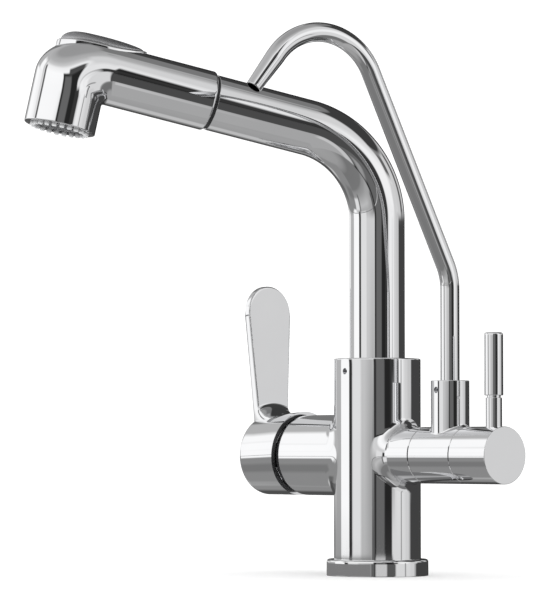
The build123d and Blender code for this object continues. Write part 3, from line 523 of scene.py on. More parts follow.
flange = turned([(FLANGE_BORE, 0, 0), (GASKET_IN, 0, GROOVE_ROUND), (GASKET_IN, GASKET_H, 0),
                 (GASKET_OUT, GASKET_H, 0), (GASKET_OUT, 0, GROOVE_ROUND), (FLANGE_R, 0, EDGE_ROUND),
                 (FLANGE_R, FLANGE_H, FLANGE_ROUND), (FLANGE_BORE, FLANGE_H, 0)], UPRIGHT)
piece("flange_ring", flange, "chrome", "tap_body", "base_flange")

# %% [markdown]
# The knob of the filter valve is a plain drum with broken edges and a flat end. The pin lever on it is a
# slim stem, a narrow neck that reads as a dark line, and a thicker grip that is rounded at its top. All
# three are turned, with the bores and pegs that hold them together, so that they are whole when they are
# taken apart.

# %% Knob and pin lever
FILTER_R = 16.0
KNOB_START, KNOB_FLOOR, KNOB_END = 76.2, 89.0, 104.8
KNOB_BORE = 12.6
SOCKET_R, SOCKET_END = 4.55, 98.3
PIN = frame_of((96.2, 0, BRANCH_Z), (0, 0, 1), (1, 0, 0))
STEM_R = 4.55
STEM_FOOT, STEM_SEAT, STEM_TOP = 8.32, 15.32, 32.0
STEM_ROUND = 0.25
PEG_R, PEG_TOP = 3.0, 40.2
PEG_ROUND = 0.2
PIN_NECK_R = 3.8
GRIP_R = 5.25
GRIP_FOOT, GRIP_TOP, GRIP_ROUND = 33.2, 68.1, 1.2
GRIP_BORE, GRIP_FLOOR = 3.05, 40.5

knob = turned([(0, SOCKET_END, 0), (SOCKET_R, SOCKET_END, 0), (SOCKET_R, KNOB_FLOOR, 0),
               (KNOB_BORE, KNOB_FLOOR, 0), (KNOB_BORE, KNOB_START, PEG_ROUND),
               (FILTER_R, KNOB_START, EDGE_ROUND), (FILTER_R, KNOB_END, EDGE_ROUND),
               (0, KNOB_END, 0)], FILTER)
piece("knob_drum", knob, "chrome", "filter_valve", "filter_knob")
stem = turned([(0, STEM_FOOT, 0), (PEG_R, STEM_FOOT, PEG_ROUND), (PEG_R, STEM_SEAT, 0),
               (STEM_R, STEM_SEAT, 0), (STEM_R, STEM_TOP, STEM_ROUND), (PIN_NECK_R, STEM_TOP, 0),
               (PIN_NECK_R, GRIP_FOOT, 0), (PEG_R, GRIP_FOOT, 0), (PEG_R, PEG_TOP, PEG_ROUND),
               (0, PEG_TOP, 0)], PIN, FINE_STEPS)
piece("pin_stem", stem, "chrome", "filter_valve", "filter_lever_stem")
grip = turned([(0, GRIP_FLOOR, 0), (GRIP_BORE, GRIP_FLOOR, 0), (GRIP_BORE, GRIP_FOOT, 0),
               (GRIP_R, GRIP_FOOT, EDGE_ROUND), (GRIP_R, GRIP_TOP, GRIP_ROUND), (0, GRIP_TOP, 0)],
              PIN, FINE_STEPS)
piece("pin_grip", grip, "chrome", "filter_valve", "filter_lever_grip")

# %% [markdown]
# The black ring behind the hub fills the gap that a tilting lever needs. A plain cylinder would rub or
# show a wedge of dark when the lever tilts, so it is a slice of a ball about the lever's pivot: two arcs
# and a spin.

# %% Black trim ring
PIVOT = 54.0
MIXER_REACH = 61.0
TRIM_R = 24.2
TRIM_END = 70.0
TRIM_WALL = 2.0


def ball_arc(radius, start, end, steps):
    """Points of an arc about the lever's pivot, from one distance along the branch to another."""
    heights = [start + (end - start) * step / steps for step in range(steps + 1)]
    return [(sqrt(radius ** 2 - (height - PIVOT) ** 2), height, 0) for height in heights]


trim_front = ball_arc(TRIM_R, MIXER_REACH, TRIM_END, steps=18)
trim_back = ball_arc(TRIM_R - TRIM_WALL, TRIM_END, MIXER_REACH, steps=6)
trim = turned(trim_front + trim_back, MIXER)
piece("trim_band", trim, "black_plastic", "tap_body", "trim_ring")

# %% [markdown]
# Where a branch leaves a drum, the casting has a soft fillet. Joining two cylinders leaves a knife edge
# there, and a bevel along it breaks up where the curves run into each other. So the fillet is worked out:
# a ball that rolls in the corner touches the branch and the drum along two curves. The skin starts as a
# ring on the branch, follows the ball's arc from one curve to the other, and then spreads over the
# unrolled drum until it fills a rectangle.

# %% Branches with rolled fillets
SIDE_STEPS = 72
FILLET_STEPS = 16
SPREAD_STEPS = 30
SPREAD_POWER = 1.5
FRONT_POWER = 8
BESIDE = Vector((0.4, 0.0, 0.0))
NEAR_BORDER = 0.993


def round_edge(reach, radius, edge):
    """Rings of reach and radius round the outer edge of a branch's end."""
    arc = [(reach - edge + edge * cos(t), radius - edge + edge * sin(t)) for t in quarter(ROUND_STEPS)]
    return arc + [(reach - RUN * edge, radius)]


def saddle(drum_r, branch_r, balls, starts, wrap, low, high):
    """Rings of a branch, with local X along it, and of the drum; the ball is larger at front and back."""
    turns = [turn - pi / 4 for turn in around(4 * SIDE_STEPS)]
    rings = [[Vector((reach, r * cos(t), r * sin(t))) for t in turns] for reach, r in starts]
    rolls = [balls[0] + (balls[1] - balls[0]) * cos(t) ** FRONT_POWER for t in turns]
    across = [(branch_r + roll) * cos(t) for t, roll in zip(turns, rolls)]
    centres = [Vector((sqrt((drum_r + roll) ** 2 - y ** 2), y, (branch_r + roll) * sin(t)))
               for t, y, roll in zip(turns, across, rolls)]
    to_branch = [Vector((0.0, -cos(t), -sin(t))) for t in turns]
    to_drum = [Vector((-centre.x, -centre.y, 0.0)).normalized() for centre in centres]
    balls_round = list(zip(centres, rolls, to_branch, to_drum))
    rings.append([centre + roll * start + BESIDE for centre, roll, start, end in balls_round])
    for step in range(FILLET_STEPS + 1):
        share = step / FILLET_STEPS
        rings.append([centre + roll * start.slerp(end, share) for centre, roll, start, end in balls_round])
    touch = [(atan2(centre.y, centre.x), centre.z) for centre in centres]
    corners = ((wrap, low), (wrap, high), (-wrap, high), (-wrap, low))
    border = []
    for (turn_a, z_a), (turn_b, z_b) in zip(corners, corners[1:] + corners[:1]):
        steps = [step / SIDE_STEPS for step in range(SIDE_STEPS)]
        border += [(turn_a + (turn_b - turn_a) * share, z_a + (z_b - z_a) * share) for share in steps]
    spread = [(step / SPREAD_STEPS) ** SPREAD_POWER for step in range(1, SPREAD_STEPS)]
    for share in spread + [NEAR_BORDER, 1.0]:
        mixed = [Vector(a).lerp(Vector(b), share) for a, b in zip(touch, border)]
        rings.append([Vector((drum_r * cos(turn), drum_r * sin(turn), z)) for turn, z in mixed])
    return rings


def level_ring(builder, height):
    """The open ring of vertices at a height, in order round local Z."""
    found = [v for v in builder.verts if abs(v.co.z - height) < TINY and v.is_boundary]
    return sorted(found, key=lambda v: atan2(v.co.y, v.co.x))


def grow_levels(builder, ring, levels):
    """Grow a ring through levels of radius and height."""
    turns = [atan2(v.co.y, v.co.x) for v in ring]
    for radius, height in levels:
        ring = grow(builder, ring, [Vector((radius * cos(t), radius * sin(t), height)) for t in turns])
    return ring


# %% [markdown]
# The body is one plated casting: a drum with a branch on each side. Cutting it out of cylinders would
# leave long thin faces that show in the plating, so its skin is grown. Two saddles meet at the front and
# at the back. The ring that is left at the foot is then grown down into the flange, up the way of the
# hose and out of the bearing of the spout, until it meets the ring at the top.

# %% Body
BODY_R = 25.0
BODY_TOP = 124.5
BODY_EDGE = 0.8
MIXER_R = 23.5
FILTER_REACH = 42.6
WAY_START = 30.0
WAY_R, MIXER_WAY_R = 11.0, 18.0
FILTER_BALLS, MIXER_BALLS = (5.5, 18.0), (5.0, 36.0)
FOOT_R, FOOT_BORE, FOOT_ROOF = 22.5, 20.05, 22.0
BEARING_R, BEARING_FLOOR = 18.0, 97.0
SEAM_EDGE = 0.3
SCREW_R = 1.8
SPOUT_SCREW_Z = 117.0
LOW = FLANGE_H - BRANCH_Z
HIGH = BODY_TOP - BODY_EDGE - BRANCH_Z
ROOF = FOOT_ROOF - BRANCH_Z
SEAT = BEARING_FLOOR - BRANCH_Z

filter_ways = [(WAY_START, WAY_R), (FILTER_REACH, WAY_R), (FILTER_REACH, FILTER_R - SEAM_EDGE),
               (FILTER_REACH - SEAM_EDGE, FILTER_R), (FILTER_REACH - 2 * SEAM_EDGE, FILTER_R)]
mixer_ways = [(WAY_START, MIXER_WAY_R), (MIXER_REACH, MIXER_WAY_R)]
mixer_ways += round_edge(MIXER_REACH, MIXER_R, BODY_EDGE)
right_half = skin(saddle(BODY_R, FILTER_R, FILTER_BALLS, filter_ways, pi / 2, LOW, HIGH), "cap", "open")
left_half = skin(saddle(BODY_R, MIXER_R, MIXER_BALLS, mixer_ways, pi / 2, LOW, HIGH), "cap", "open")
bmesh.ops.rotate(left_half, cent=(0, 0, 0), matrix=Matrix.Rotation(pi, 3, "Z"), verts=left_half.verts)
body = joined(right_half, left_half)
bmesh.ops.remove_doubles(body, verts=body.verts, dist=MERGE)
body_ways = [(FOOT_R, LOW), (FOOT_R, -BRANCH_Z), (FOOT_BORE, -BRANCH_Z), (FOOT_BORE, ROOF), (WAY_R, ROOF),
             (WAY_R, SEAT), (BEARING_R, SEAT), (BEARING_R, HIGH + BODY_EDGE - SEAM_EDGE),
             (BEARING_R + SEAM_EDGE, HIGH + BODY_EDGE)]
top_edge = [(radius, HIGH + height) for height, radius in round_edge(BODY_EDGE, BODY_R, BODY_EDGE)[:-1]]
grow_levels(body, level_ring(body, LOW), body_ways + top_edge)
placed(body, frame_of((0, 0, BRANCH_Z), (0, 0, 1), (1, 0, 0)))
spout_screw = frame_of((0, 0, SPOUT_SCREW_Z), (0, -1, 0), (0, 0, 1))
spout_hole = rod(SCREW_R, BEARING_R - 1.5, BODY_R + 2.0, spout_screw)
piece("body_casting", body, "chrome", "tap_body", "main_body", holes=[spout_hole])

# %% [markdown]
# The housing of the filter valve is a short drum on the branch's axis, and the post for the filter spout
# leaves it upwards. It could be joined to the body, but the seam between them shows. So it is one more
# saddle, which wraps the whole drum, and its two ends are grown inwards as the seats of the valve.

# %% Filter valve housing
POST_X = 61.0
POST_R, POST_BORE = 10.85, 7.5
POST_FLOOR, POST_TOP = 88.0, 111.0
POST_EDGE = 0.4
POST_BALL = 1.5
POST_SCREW_Z = 105.6
HOUSING_START, HOUSING_END = 42.9, 75.9
SEAT_DEPTH = 6.0

post_reach = POST_TOP - BRANCH_Z
post_ways = [(POST_FLOOR - BRANCH_Z, POST_BORE), (post_reach, POST_BORE)]
post_ways += round_edge(post_reach, POST_R, POST_EDGE)
near_end = HOUSING_START + SEAM_EDGE - POST_X
far_end = HOUSING_END - SEAM_EDGE - POST_X
housing_rings = saddle(FILTER_R, POST_R, (POST_BALL, POST_BALL), post_ways, pi, near_end, far_end)
housing = skin(housing_rings, "cap", "open")
bmesh.ops.remove_doubles(housing, verts=housing.verts, dist=MERGE)
for end, step in ((near_end, -1), (far_end, 1)):
    face = end + step * SEAM_EDGE
    levels = [(FILTER_R - SEAM_EDGE, face), (WAY_R, face), (WAY_R, end - step * SEAT_DEPTH)]
    housing.faces.new(grow_levels(housing, level_ring(housing, end), levels))
placed(housing, frame_of((POST_X, 0, BRANCH_Z), (1, 0, 0), (0, 0, 1)))
post_screw = frame_of((POST_X, 0, POST_SCREW_Z), (0, -1, 0), (0, 0, 1))
post_hole = rod(SCREW_R, POST_BORE - 1.5, POST_R + 1.15, post_screw)
piece("valve_housing", housing, "chrome", "tap_body", "filter_valve_housing", holes=[post_hole])

# %% [markdown]
# Both spouts are tubes bent in an upright plane. A curve with a bevel depth would give the same line, but
# not a wall with a bore. So a route turns straight runs and bend radii into stations of place and
# heading, with an extra station just before and after each bend to keep the straight runs straight. The
# skin grows along them, over the rim of the mouth and back along the bore.

# %% Bent tubes
BEND_STEPS = 56
MITRE = 0.3


def shifted(station, distance):
    """A station moved along its own heading."""
    place, heading = station
    return place + distance * Vector((cos(heading), sin(heading))), heading


def route(corners, bends):
    """Stations of place and heading along straight runs with round bends, in a plane of reach and height."""
    points = [Vector(corner) for corner in corners]
    first = points[1] - points[0]
    stations = [(points[0], atan2(first.y, first.x))]
    for before, corner, after, radius in zip(points, points[1:], points[2:], bends):
        heading = atan2(corner.y - before.y, corner.x - before.x)
        turn = atan2(after.y - corner.y, after.x - corner.x) - heading
        sense = 1 if turn > 0 else -1
        start = corner - (corner - before).normalized() * radius * tan(abs(turn) / 2)
        centre = start + radius * sense * Vector((-sin(heading), cos(heading)))
        stations.append(shifted((start, heading), -1.0))
        for step in range(BEND_STEPS + 1):
            angle = heading + turn * step / BEND_STEPS
            stations.append((centre - radius * sense * Vector((-sin(angle), cos(angle))), angle))
        stations.append(shifted(stations[-1], 1.0))
    last = points[-1] - points[-2]
    stations.append((points[-1], atan2(last.y, last.x)))
    return stations


def tube_rings(stations, radii, segments=SPIN_STEPS):
    """Rings of a tube round its stations, in a plane of local X and Z."""
    rings = []
    for (place, heading), radius in zip(stations, radii):
        middle = Vector((place.x, 0.0, place.y))
        normal = Vector((-sin(heading), 0.0, cos(heading)))
        spokes = [cos(t) * normal + sin(t) * Vector((0, 1, 0)) for t in around(segments)]
        rings.append([middle + radius * spoke for spoke in spokes])
    return rings


def tube(stations, outer, inner, mouth):
    """Closed skin of a tube: out along one list of radii, over the mouth's rim and back along the bore."""
    end = stations[-1]
    rim = [shifted(end, -RUN * mouth), shifted(end, -mouth), shifted(end, -MITRE * mouth), end, end]
    rim_radii = [outer[-1], outer[-1], outer[-1] - MITRE * mouth, outer[-1] - mouth, inner[-1]]
    rings = tube_rings(stations[:-1], outer[:-1]) + tube_rings(rim, rim_radii)
    rings += tube_rings(stations[-2::-1], inner[-2::-1])
    return skin(rings, "ring", "joined")


# %% [markdown]
# The main spout is one tube with a single bend. It stands in the bearing of the body and ends at the seam
# of the spray head, where its mouth is only just rounded.

# %% Main spout
SPOUT_FOOT = 98.8
CORNER_Z = 247.9
SPOUT_REACH = 102.4
SPOUT_R, SPOUT_BORE = 16.0, 14.0
SPOUT_BEND = 54.0
SPOUT_MOUTH = 0.3
SPOUT_PLANE = frame_of((0, 0, 0), (0, 0, 1), plan(SPOUT_TURN))
SEAM = Vector((SPOUT_REACH * cos(SPOUT_RISE), CORNER_Z + SPOUT_REACH * sin(SPOUT_RISE)))

spout_route = route([(0, SPOUT_FOOT), (0, CORNER_Z), SEAM], [SPOUT_BEND])
stations = len(spout_route)
spout = tube(spout_route, [SPOUT_R] * stations, [SPOUT_BORE] * stations, SPOUT_MOUTH)
piece("spout_arch", placed(spout, SPOUT_PLANE), "chrome", "spout", "spout_tube")

# %% [markdown]
# The filter spout is a slim tube with two bends, and its last stretch narrows to the tip, so there the
# radii change from station to station. A thin plated ring lies round its foot, just inside the rim of the
# post. It hides the brass spigot that turns there.

# %% Filter spout
FILTER_TURN = -102.3
FILTER_LEAN = radians(24.4)
FILTER_DIP = radians(52.6)
FILTER_FOOT = 100.0
FILTER_RUN, FILTER_FALL = 181.5, 60.0
FILTER_BENDS = [34.0, 34.6]
FILTER_TUBE_R, FILTER_TUBE_BORE = 5.4, 4.2
FILTER_MOUTH = 0.25
TAPER_L = 22.0
TAPER_STEPS = 12
TAPER_OUT, TAPER_IN = 1.0, 0.4
CAP_Z = POST_TOP - 0.35
CAP_H = 0.3
CAP_R, CAP_BORE = 7.3, 5.45
CAP_ROUND = 0.1
KNEE = Vector((0, 169.8))
CROWN = KNEE + FILTER_RUN * Vector((sin(FILTER_LEAN), cos(FILTER_LEAN)))
TAPER = CROWN + FILTER_FALL * Vector((cos(FILTER_DIP), -sin(FILTER_DIP)))

filter_route = route([(0, FILTER_FOOT), KNEE, CROWN, TAPER], FILTER_BENDS)
filter_route.insert(-1, shifted(filter_route[-1], -1.0))
shares = [0.0] * len(filter_route)
for step in range(1, TAPER_STEPS + 1):
    filter_route.append(shifted(filter_route[-1], TAPER_L / TAPER_STEPS))
    shares.append(step / TAPER_STEPS)
outer = [FILTER_TUBE_R - TAPER_OUT * share for share in shares]
inner = [FILTER_TUBE_BORE - TAPER_IN * share for share in shares]
filter_tube = tube(filter_route, outer, inner, FILTER_MOUTH)
placed(filter_tube, frame_of((POST_X, 0, 0), (0, 0, 1), plan(FILTER_TURN)))
piece("filter_arch", filter_tube, "chrome", "filter_spout", "filter_spout_tube")
cap_profile = [(CAP_BORE, CAP_Z, 0), (CAP_R, CAP_Z, 0), (CAP_R, CAP_Z + CAP_H, CAP_ROUND),
               (CAP_BORE, CAP_Z + CAP_H, 0)]
cap = turned(cap_profile, frame_of((POST_X, 0, 0), (0, 0, 1), (1, 0, 0)), FINE_STEPS)
piece("spigot_cap", cap, "chrome", "filter_spout")

# %% [markdown]
# The pull-out hose runs up inside the spout and shows only when the head is drawn out. It is a plain
# round tube, and its braid is in the finish. Its last straight stretch has a ring at every millimetre.

# %% Pull-out hose
HOSE_R = 6.5
HOSE_FOOT = 1.2
HOSE_END = 83.4
STRETCH_RINGS = 36


hose_tip = Vector((HOSE_END * cos(SPOUT_RISE), CORNER_Z + HOSE_END * sin(SPOUT_RISE)))
hose_route = route([(0, HOSE_FOOT), (0, CORNER_Z), hose_tip], [SPOUT_BEND])
hose_end = hose_route.pop()
hose_route += [shifted(hose_end, -step) for step in range(STRETCH_RINGS, -1, -1)]
hose = skin(tube_rings(hose_route, [HOSE_R] * len(hose_route), SLIM_STEPS), "cap", "cap")
placed(hose, SPOUT_PLANE)
bmesh.ops.recalc_face_normals(hose, faces=hose.faces)
sleeve = new_object("hose_sleeve", hose, FINISHES["hose"])
sleeve.data.shade_smooth()
sleeve.data.set_sharp_from_angle(angle=CREASE)
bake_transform(sleeve)
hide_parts("pull_out_hose")
print("hose_sleeve has", len(sleeve.data.polygons), "faces")

# %% [markdown]
# The spray head is the form that takes the most care. Its handle is round, its nozzle is round and wider,
# and a sculpted block between them would not keep the plating smooth. So its section swings through a
# right angle about a centre just under the neck. The section's far side follows the top line, a large
# corner and the front line, and its width grows on the way. An inset draws the same form in, so the inner
# skin, the outer skin and the rim of the bezel come from one function.

# %% Sections of the spray head
SEAM_POINT = plan(SPOUT_TURN) * SEAM.x + Vector((0, 0, SEAM.y))
HEAD = frame_of(SEAM_POINT, SPOUT_AXIS, HEAD_UP)
HEAD_R = 17.5
HEAD_LOW = 16.7
HEAD_RIM = 1.7
NOZZLE_R = 20.2
NOZZLE_OUT = 82.9
NOZZLE_DROP = 36.0
NECK_R = 2.2
CORNER_L = 34.0
CORNER_H = 24.0
HEAD_STEPS = 192
ELBOW_STEPS = 48
BY_ELBOW = 0.5
NECK_X = -HEAD_LOW - NECK_R
NECK_Z = NOZZLE_OUT - NOZZLE_R - NECK_R
FRONT = NOZZLE_OUT + NOZZLE_R


def elbow_reach(angle):
    """Distance from the neck's centre to the top line, the oval corner or the front line."""
    top = (HEAD_R - NECK_X) / max(cos(angle), TINY)
    front = (FRONT - NECK_Z) / max(sin(angle), TINY)
    corner = Vector(((HEAD_R - CORNER_H - NECK_X) / CORNER_H, (FRONT - CORNER_L - NECK_Z) / CORNER_L))
    ray = Vector((cos(angle) / CORNER_H, sin(angle) / CORNER_L))
    half = ray.dot(corner) / ray.length_squared
    under_root = half ** 2 - (corner.length_squared - 1) / ray.length_squared
    rounded = half + sqrt(max(under_root, 0.0))
    in_corner = rounded * ray.x > corner.x and rounded * ray.y > corner.y
    return rounded if in_corner else min(top, front)


def head_section(angle, slide, inset):
    """Oval ring of the head; slide moves it back along the handle or on along the nozzle."""
    far = elbow_reach(angle) - inset
    near = NECK_R + inset
    middle = Vector((NECK_X, 0.0, NECK_Z)) + (far + near) / 2 * Vector((cos(angle), 0.0, sin(angle)))
    middle += slide * Vector((-sin(angle), 0.0, cos(angle)))
    share = angle / (pi / 2)
    width = HEAD_R + (NOZZLE_R - HEAD_R) * share * share * (3 - 2 * share) - inset
    radial = (far - near) / 2 * Vector((cos(angle), 0.0, sin(angle)))
    across = Vector((0.0, width, 0.0))
    return [middle + cos(t) * radial + sin(t) * across for t in around(HEAD_STEPS)]


def head_rings(inset, rim, face):
    """Rings of the head from the rim to the spray face."""
    slides = [rim - NECK_Z, (rim - NECK_Z) / 2, -BY_ELBOW]
    rings = [head_section(0.0, slide, inset) for slide in slides]
    rings += [head_section(angle, 0.0, inset) for angle in quarter(ELBOW_STEPS)]
    drop = face + NECK_X
    return rings + [head_section(pi / 2, slide, inset) for slide in (BY_ELBOW, drop / 2, drop)]


def edge_rings(angle, end, sense, edge):
    """Rings round an outer edge at an end of the head, from the end face to the skin."""
    ends = [(end - sense * edge * (1 - cos(t)), edge * (1 - sin(t))) for t in quarter(ROUND_STEPS)]
    return [head_section(angle, slide, inset) for slide, inset in ends]


# %% [markdown]
# The shell of the head is a thin moulded wall. A Solidify modifier could thicken one skin, but the rims
# would stay sharp. So the rings run round the rim, along the outside, round the edge of the spray face
# and back along the inside. The oval well for the rocker is then cut out of its top, where the bezel
# covers the cut's edge.

# %% Shell of the spray head
WALL = 2.5
RIM_EDGE, RIM_RUN = 1.2, 1.6
FACE_EDGE, FACE_RUN = 0.6, 0.9
ROCKER_OUT = 69.0
BEZEL_L, BEZEL_W = 26.0, 12.0
OVAL_STEPS = 128
WELL_GAP = 0.05
WELL_FLOOR, WELL_ROOF = 7.0, 40.0


def oval(long, wide, heights):
    """Ring of an oval on top of the head, with a height for each vertex or one for all."""
    levels = heights if isinstance(heights, list) else [heights] * OVAL_STEPS
    spots = zip(around(OVAL_STEPS), levels)
    return [Vector((level, wide * sin(t), ROCKER_OUT + long * cos(t))) for t, level in spots]


shell_rings = edge_rings(0.0, HEAD_RIM - NECK_Z, -1, RIM_EDGE)
shell_rings += head_rings(0.0, HEAD_RIM + RIM_RUN, NOZZLE_DROP - FACE_RUN)
shell_rings += edge_rings(pi / 2, NOZZLE_DROP + NECK_X, 1, FACE_EDGE)[::-1]
shell_rings += head_rings(WALL, HEAD_RIM, NOZZLE_DROP)[::-1]
shell = placed(skin(shell_rings, "ring", "joined"), HEAD)
well_rings = [oval(BEZEL_L + WELL_GAP, BEZEL_W + WELL_GAP, height) for height in (WELL_FLOOR, WELL_ROOF)]
well = placed(skin(well_rings, "cap", "cap"), HEAD)
piece("head_skin", shell, "chrome", "spray_head", "head_shell", holes=[well])

# %% [markdown]
# The rocker is a pebble in an oval bezel. The bezel's wall follows the head at a small height, and stands
# taller where the head falls away at the front. Its rim could be set by eye, but it would dip into the
# head somewhere. So the head's own form, drawn out by that height, is cast as a surface, and rays from
# above give the height of the rim at every vertex.

# %% Bezel of the rocker
BEZEL_PROUD = 1.0
BEZEL_SOLE = 8.0
RIM_STEPS = 12
RIM_HALF = 0.7
RIM_SOFT = 0.4
RIM_RISE = 0.004
RISE_FROM = 70.0
PIT_L, PIT_W, PIT_FLOOR = 24.6, 10.6, 9.5
RAY_START = 60.0

cast = skin(head_rings(-BEZEL_PROUD, 0.0, NOZZLE_DROP), "open", "open")
surface = BVHTree.FromBMesh(cast)
cast.free()


def rim_heights(ring):
    """Heights of the bezel's rim over the vertices of a ring."""
    down = Vector((-1.0, 0.0, 0.0))
    hits = [surface.ray_cast(Vector((RAY_START, v.y, v.z)), down)[0].x for v in ring]
    return [hit + RIM_RISE * max(v.z - RISE_FROM, 0.0) ** 2 for hit, v in zip(hits, ring)]


rim_rings = []
for step in range(RIM_STEPS + 1):
    lean = radians(180 * step / RIM_STEPS)
    inward = RIM_HALF - RIM_HALF * cos(lean)
    flat = oval(BEZEL_L - inward, BEZEL_W - inward, 0.0)
    heights = [height - RIM_SOFT * (1 - sin(lean)) for height in rim_heights(flat)]
    rim_rings.append(oval(BEZEL_L - inward, BEZEL_W - inward, heights))
bezel_rings = [oval(BEZEL_L, BEZEL_W, BEZEL_SOLE)] + rim_rings + [oval(PIT_L, PIT_W, PIT_FLOOR)]
bezel = placed(skin(bezel_rings, "cap", "cap"), HEAD)
piece("rocker_frame", bezel, "chrome", "spray_head", "rocker_bezel")

# %% [markdown]
# The pebble is a dome of rings on that same rim, and its height grows towards the front, where a thumb
# presses. A flattened ball would have one height all round, and would sink into the bezel at the front.

# %% Pebble of the rocker
BUTTON_L, BUTTON_W = 24.0, 10.0
BUTTON_SOLE = 11.3
SKIRT = -0.15
DOME_H = 2.3
DOME_RISE = 0.009
DOME_STEPS = 40


def dome_ring(share, rise):
    """Ring of the pebble at a share of its size and of its height above the rim."""
    flat = oval(BUTTON_L * share, BUTTON_W * share, 0.0)
    lifts = [(DOME_H + DOME_RISE * max(v.z - RISE_FROM, 0.0) ** 2) * rise for v in flat]
    heights = [rim + lift for rim, lift in zip(rim_heights(flat), lifts)]
    return oval(BUTTON_L * share, BUTTON_W * share, heights)


button_rings = [oval(BUTTON_L, BUTTON_W, BUTTON_SOLE), dome_ring(1.0, SKIRT)]
button_rings += [dome_ring(cos(lean), sin(lean)) for lean in quarter(DOME_STEPS)[:-1]]
button = placed(skin(button_rings, "cap", "cap"), HEAD)
piece("rocker_pad", button, "satin_chrome", "rocker", "rocker_button")

# %% [markdown]
# The nubs of the spray face are soft cones with a small hole in the tip. The outer ring stands proud and
# pale. The inner ring is shorter, so the silicone's painted shade, which darkens below the tips, paints it
# darker. An array modifier could repeat one nub, but two rings of different height need two, so each nub
# is turned where it stands.

# %% Spray nubs
NOZZLE = frame_of(SEAM_POINT + SPOUT_AXIS * NOZZLE_OUT, -HEAD_UP, SPOUT_AXIS)
MAT_R, MAT_BORE = 17.6, 7.05
MAT_BACK, MAT_FACE = 31.8, 33.2
NUB_TIP = 37.6
SHORTER = 2.2
NUB_RINGS = ((15.4, 22, NUB_TIP), (10.4, 14, NUB_TIP - SHORTER))
NUB_TIP_R, NUB_ROUND = 1.35, 0.4
NUB_ROOT_R, NUB_ROOT = 1.8, MAT_FACE - 0.3
HOLE_R, HOLE_ROUND = 0.45, 0.1
HOLE_DEPTH = 1.2
NUB_STEPS = 24

mat_profile = [(MAT_BORE, MAT_BACK, 0), (MAT_R, MAT_BACK, 0), (MAT_R, MAT_FACE, 0), (MAT_BORE, MAT_FACE, 0)]
nubs = turned(mat_profile, NOZZLE)
for ring_r, count, tip in NUB_RINGS:
    profile = [(0, tip - HOLE_DEPTH, 0), (HOLE_R, tip - HOLE_DEPTH, 0), (HOLE_R, tip, HOLE_ROUND),
               (NUB_TIP_R, tip, NUB_ROUND), (NUB_ROOT_R, NUB_ROOT, 0), (0, NUB_ROOT, 0)]
    for turn in around(count):
        spot = NOZZLE @ Matrix.Translation((ring_r * cos(turn), ring_r * sin(turn), 0))
        nubs = joined(nubs, turned(profile, spot, NUB_STEPS))
piece("nub_mat", nubs, "silicone", "spray_head", "nozzle_mat")

# %% [markdown]
# The lever's hub is a cone that leans a little, with a slanted rim and a hollow ball inside that clears
# the trim ring when the lever tilts. A spin can't make a rim that slants, so each ring's height is found
# at every turn, by a few rounds of trial that settle on the place where the skin meets the rim's plane.

# %% Hub of the lever
HUB_R = 23.5
HUB_END = 97.7
HUB_EDGE = 3.0
HUB_EDGE_STEPS = 12
HUB_FLAT = 19.0
HUB_STEPS = 160
RIM_Z = 65.7
RIM_SLANT = tan(radians(5.0))
CONE_FOOT, CONE_L = 42.2, 52.0
CONE_R, CONE_LEAN = 25.3, 1.8
SHOULDER_Z = 94.2
CAVITY_R = 24.8
CAVITY_SHARES = (0.96, 0.7, 0.4, 0.2, 0.0)
HUB_SHARES = (0.0, 0.02, 0.25, 0.5, 0.75, 0.98)
RIM_ROUNDS = 4


def hub_point(turn, share):
    """Point on the hub's skin at a turn, from the slanted rim to the shoulder."""
    rim = RIM_Z
    for attempt in range(RIM_ROUNDS):
        taper = (rim - CONE_FOOT) / CONE_L
        rim = RIM_Z - RIM_SLANT * (CONE_LEAN * (1 - taper) + (CONE_R - CONE_LEAN * taper) * cos(turn))
    height = rim + (SHOULDER_Z - rim) * share
    taper = (height - CONE_FOOT) / CONE_L
    radius = CONE_R - CONE_LEAN * taper
    return Vector((CONE_LEAN * (1 - taper) + radius * cos(turn), radius * sin(turn), height))


def cavity_point(turn, share):
    """Point on the hollow ball at a turn, from the slanted rim to its top."""
    rim = RIM_Z
    for attempt in range(RIM_ROUNDS):
        rim = RIM_Z - RIM_SLANT * sqrt(CAVITY_R ** 2 - (rim - PIVOT) ** 2) * cos(turn)
    lift = asin((rim - PIVOT) / CAVITY_R)
    lift += (pi / 2 - lift) * share
    radius = CAVITY_R * cos(lift)
    return Vector((radius * cos(turn), radius * sin(turn), PIVOT + CAVITY_R * sin(lift)))


turns = around(HUB_STEPS)
hub_rings = [[cavity_point(t, share) for t in turns] for share in CAVITY_SHARES]
hub_rings += [[hub_point(t, share) for t in turns] for share in HUB_SHARES]
shoulder = [(HUB_R - HUB_EDGE + HUB_EDGE * cos(lift), HUB_END - HUB_EDGE + HUB_EDGE * sin(lift))
            for lift in quarter(HUB_EDGE_STEPS)]
for radius, height in shoulder + [(HUB_FLAT, HUB_END)]:
    hub_rings.append([Vector((radius * cos(t), radius * sin(t), height)) for t in turns])
hub = placed(skin(hub_rings, "cap", "cap"), MIXER)
print("hub of the lever has", len(hub_rings), "rings")

# %% [markdown]
# The blade rises from the hub on a scoop, and its sides run to a round tip. A bent box would not follow
# the hub, so rows of vertices sweep round the hub's axis up the scoop and then run on to the tip, and the
# sheet is extruded to the outer face. These functions give the width and the two faces that the rows
# follow.

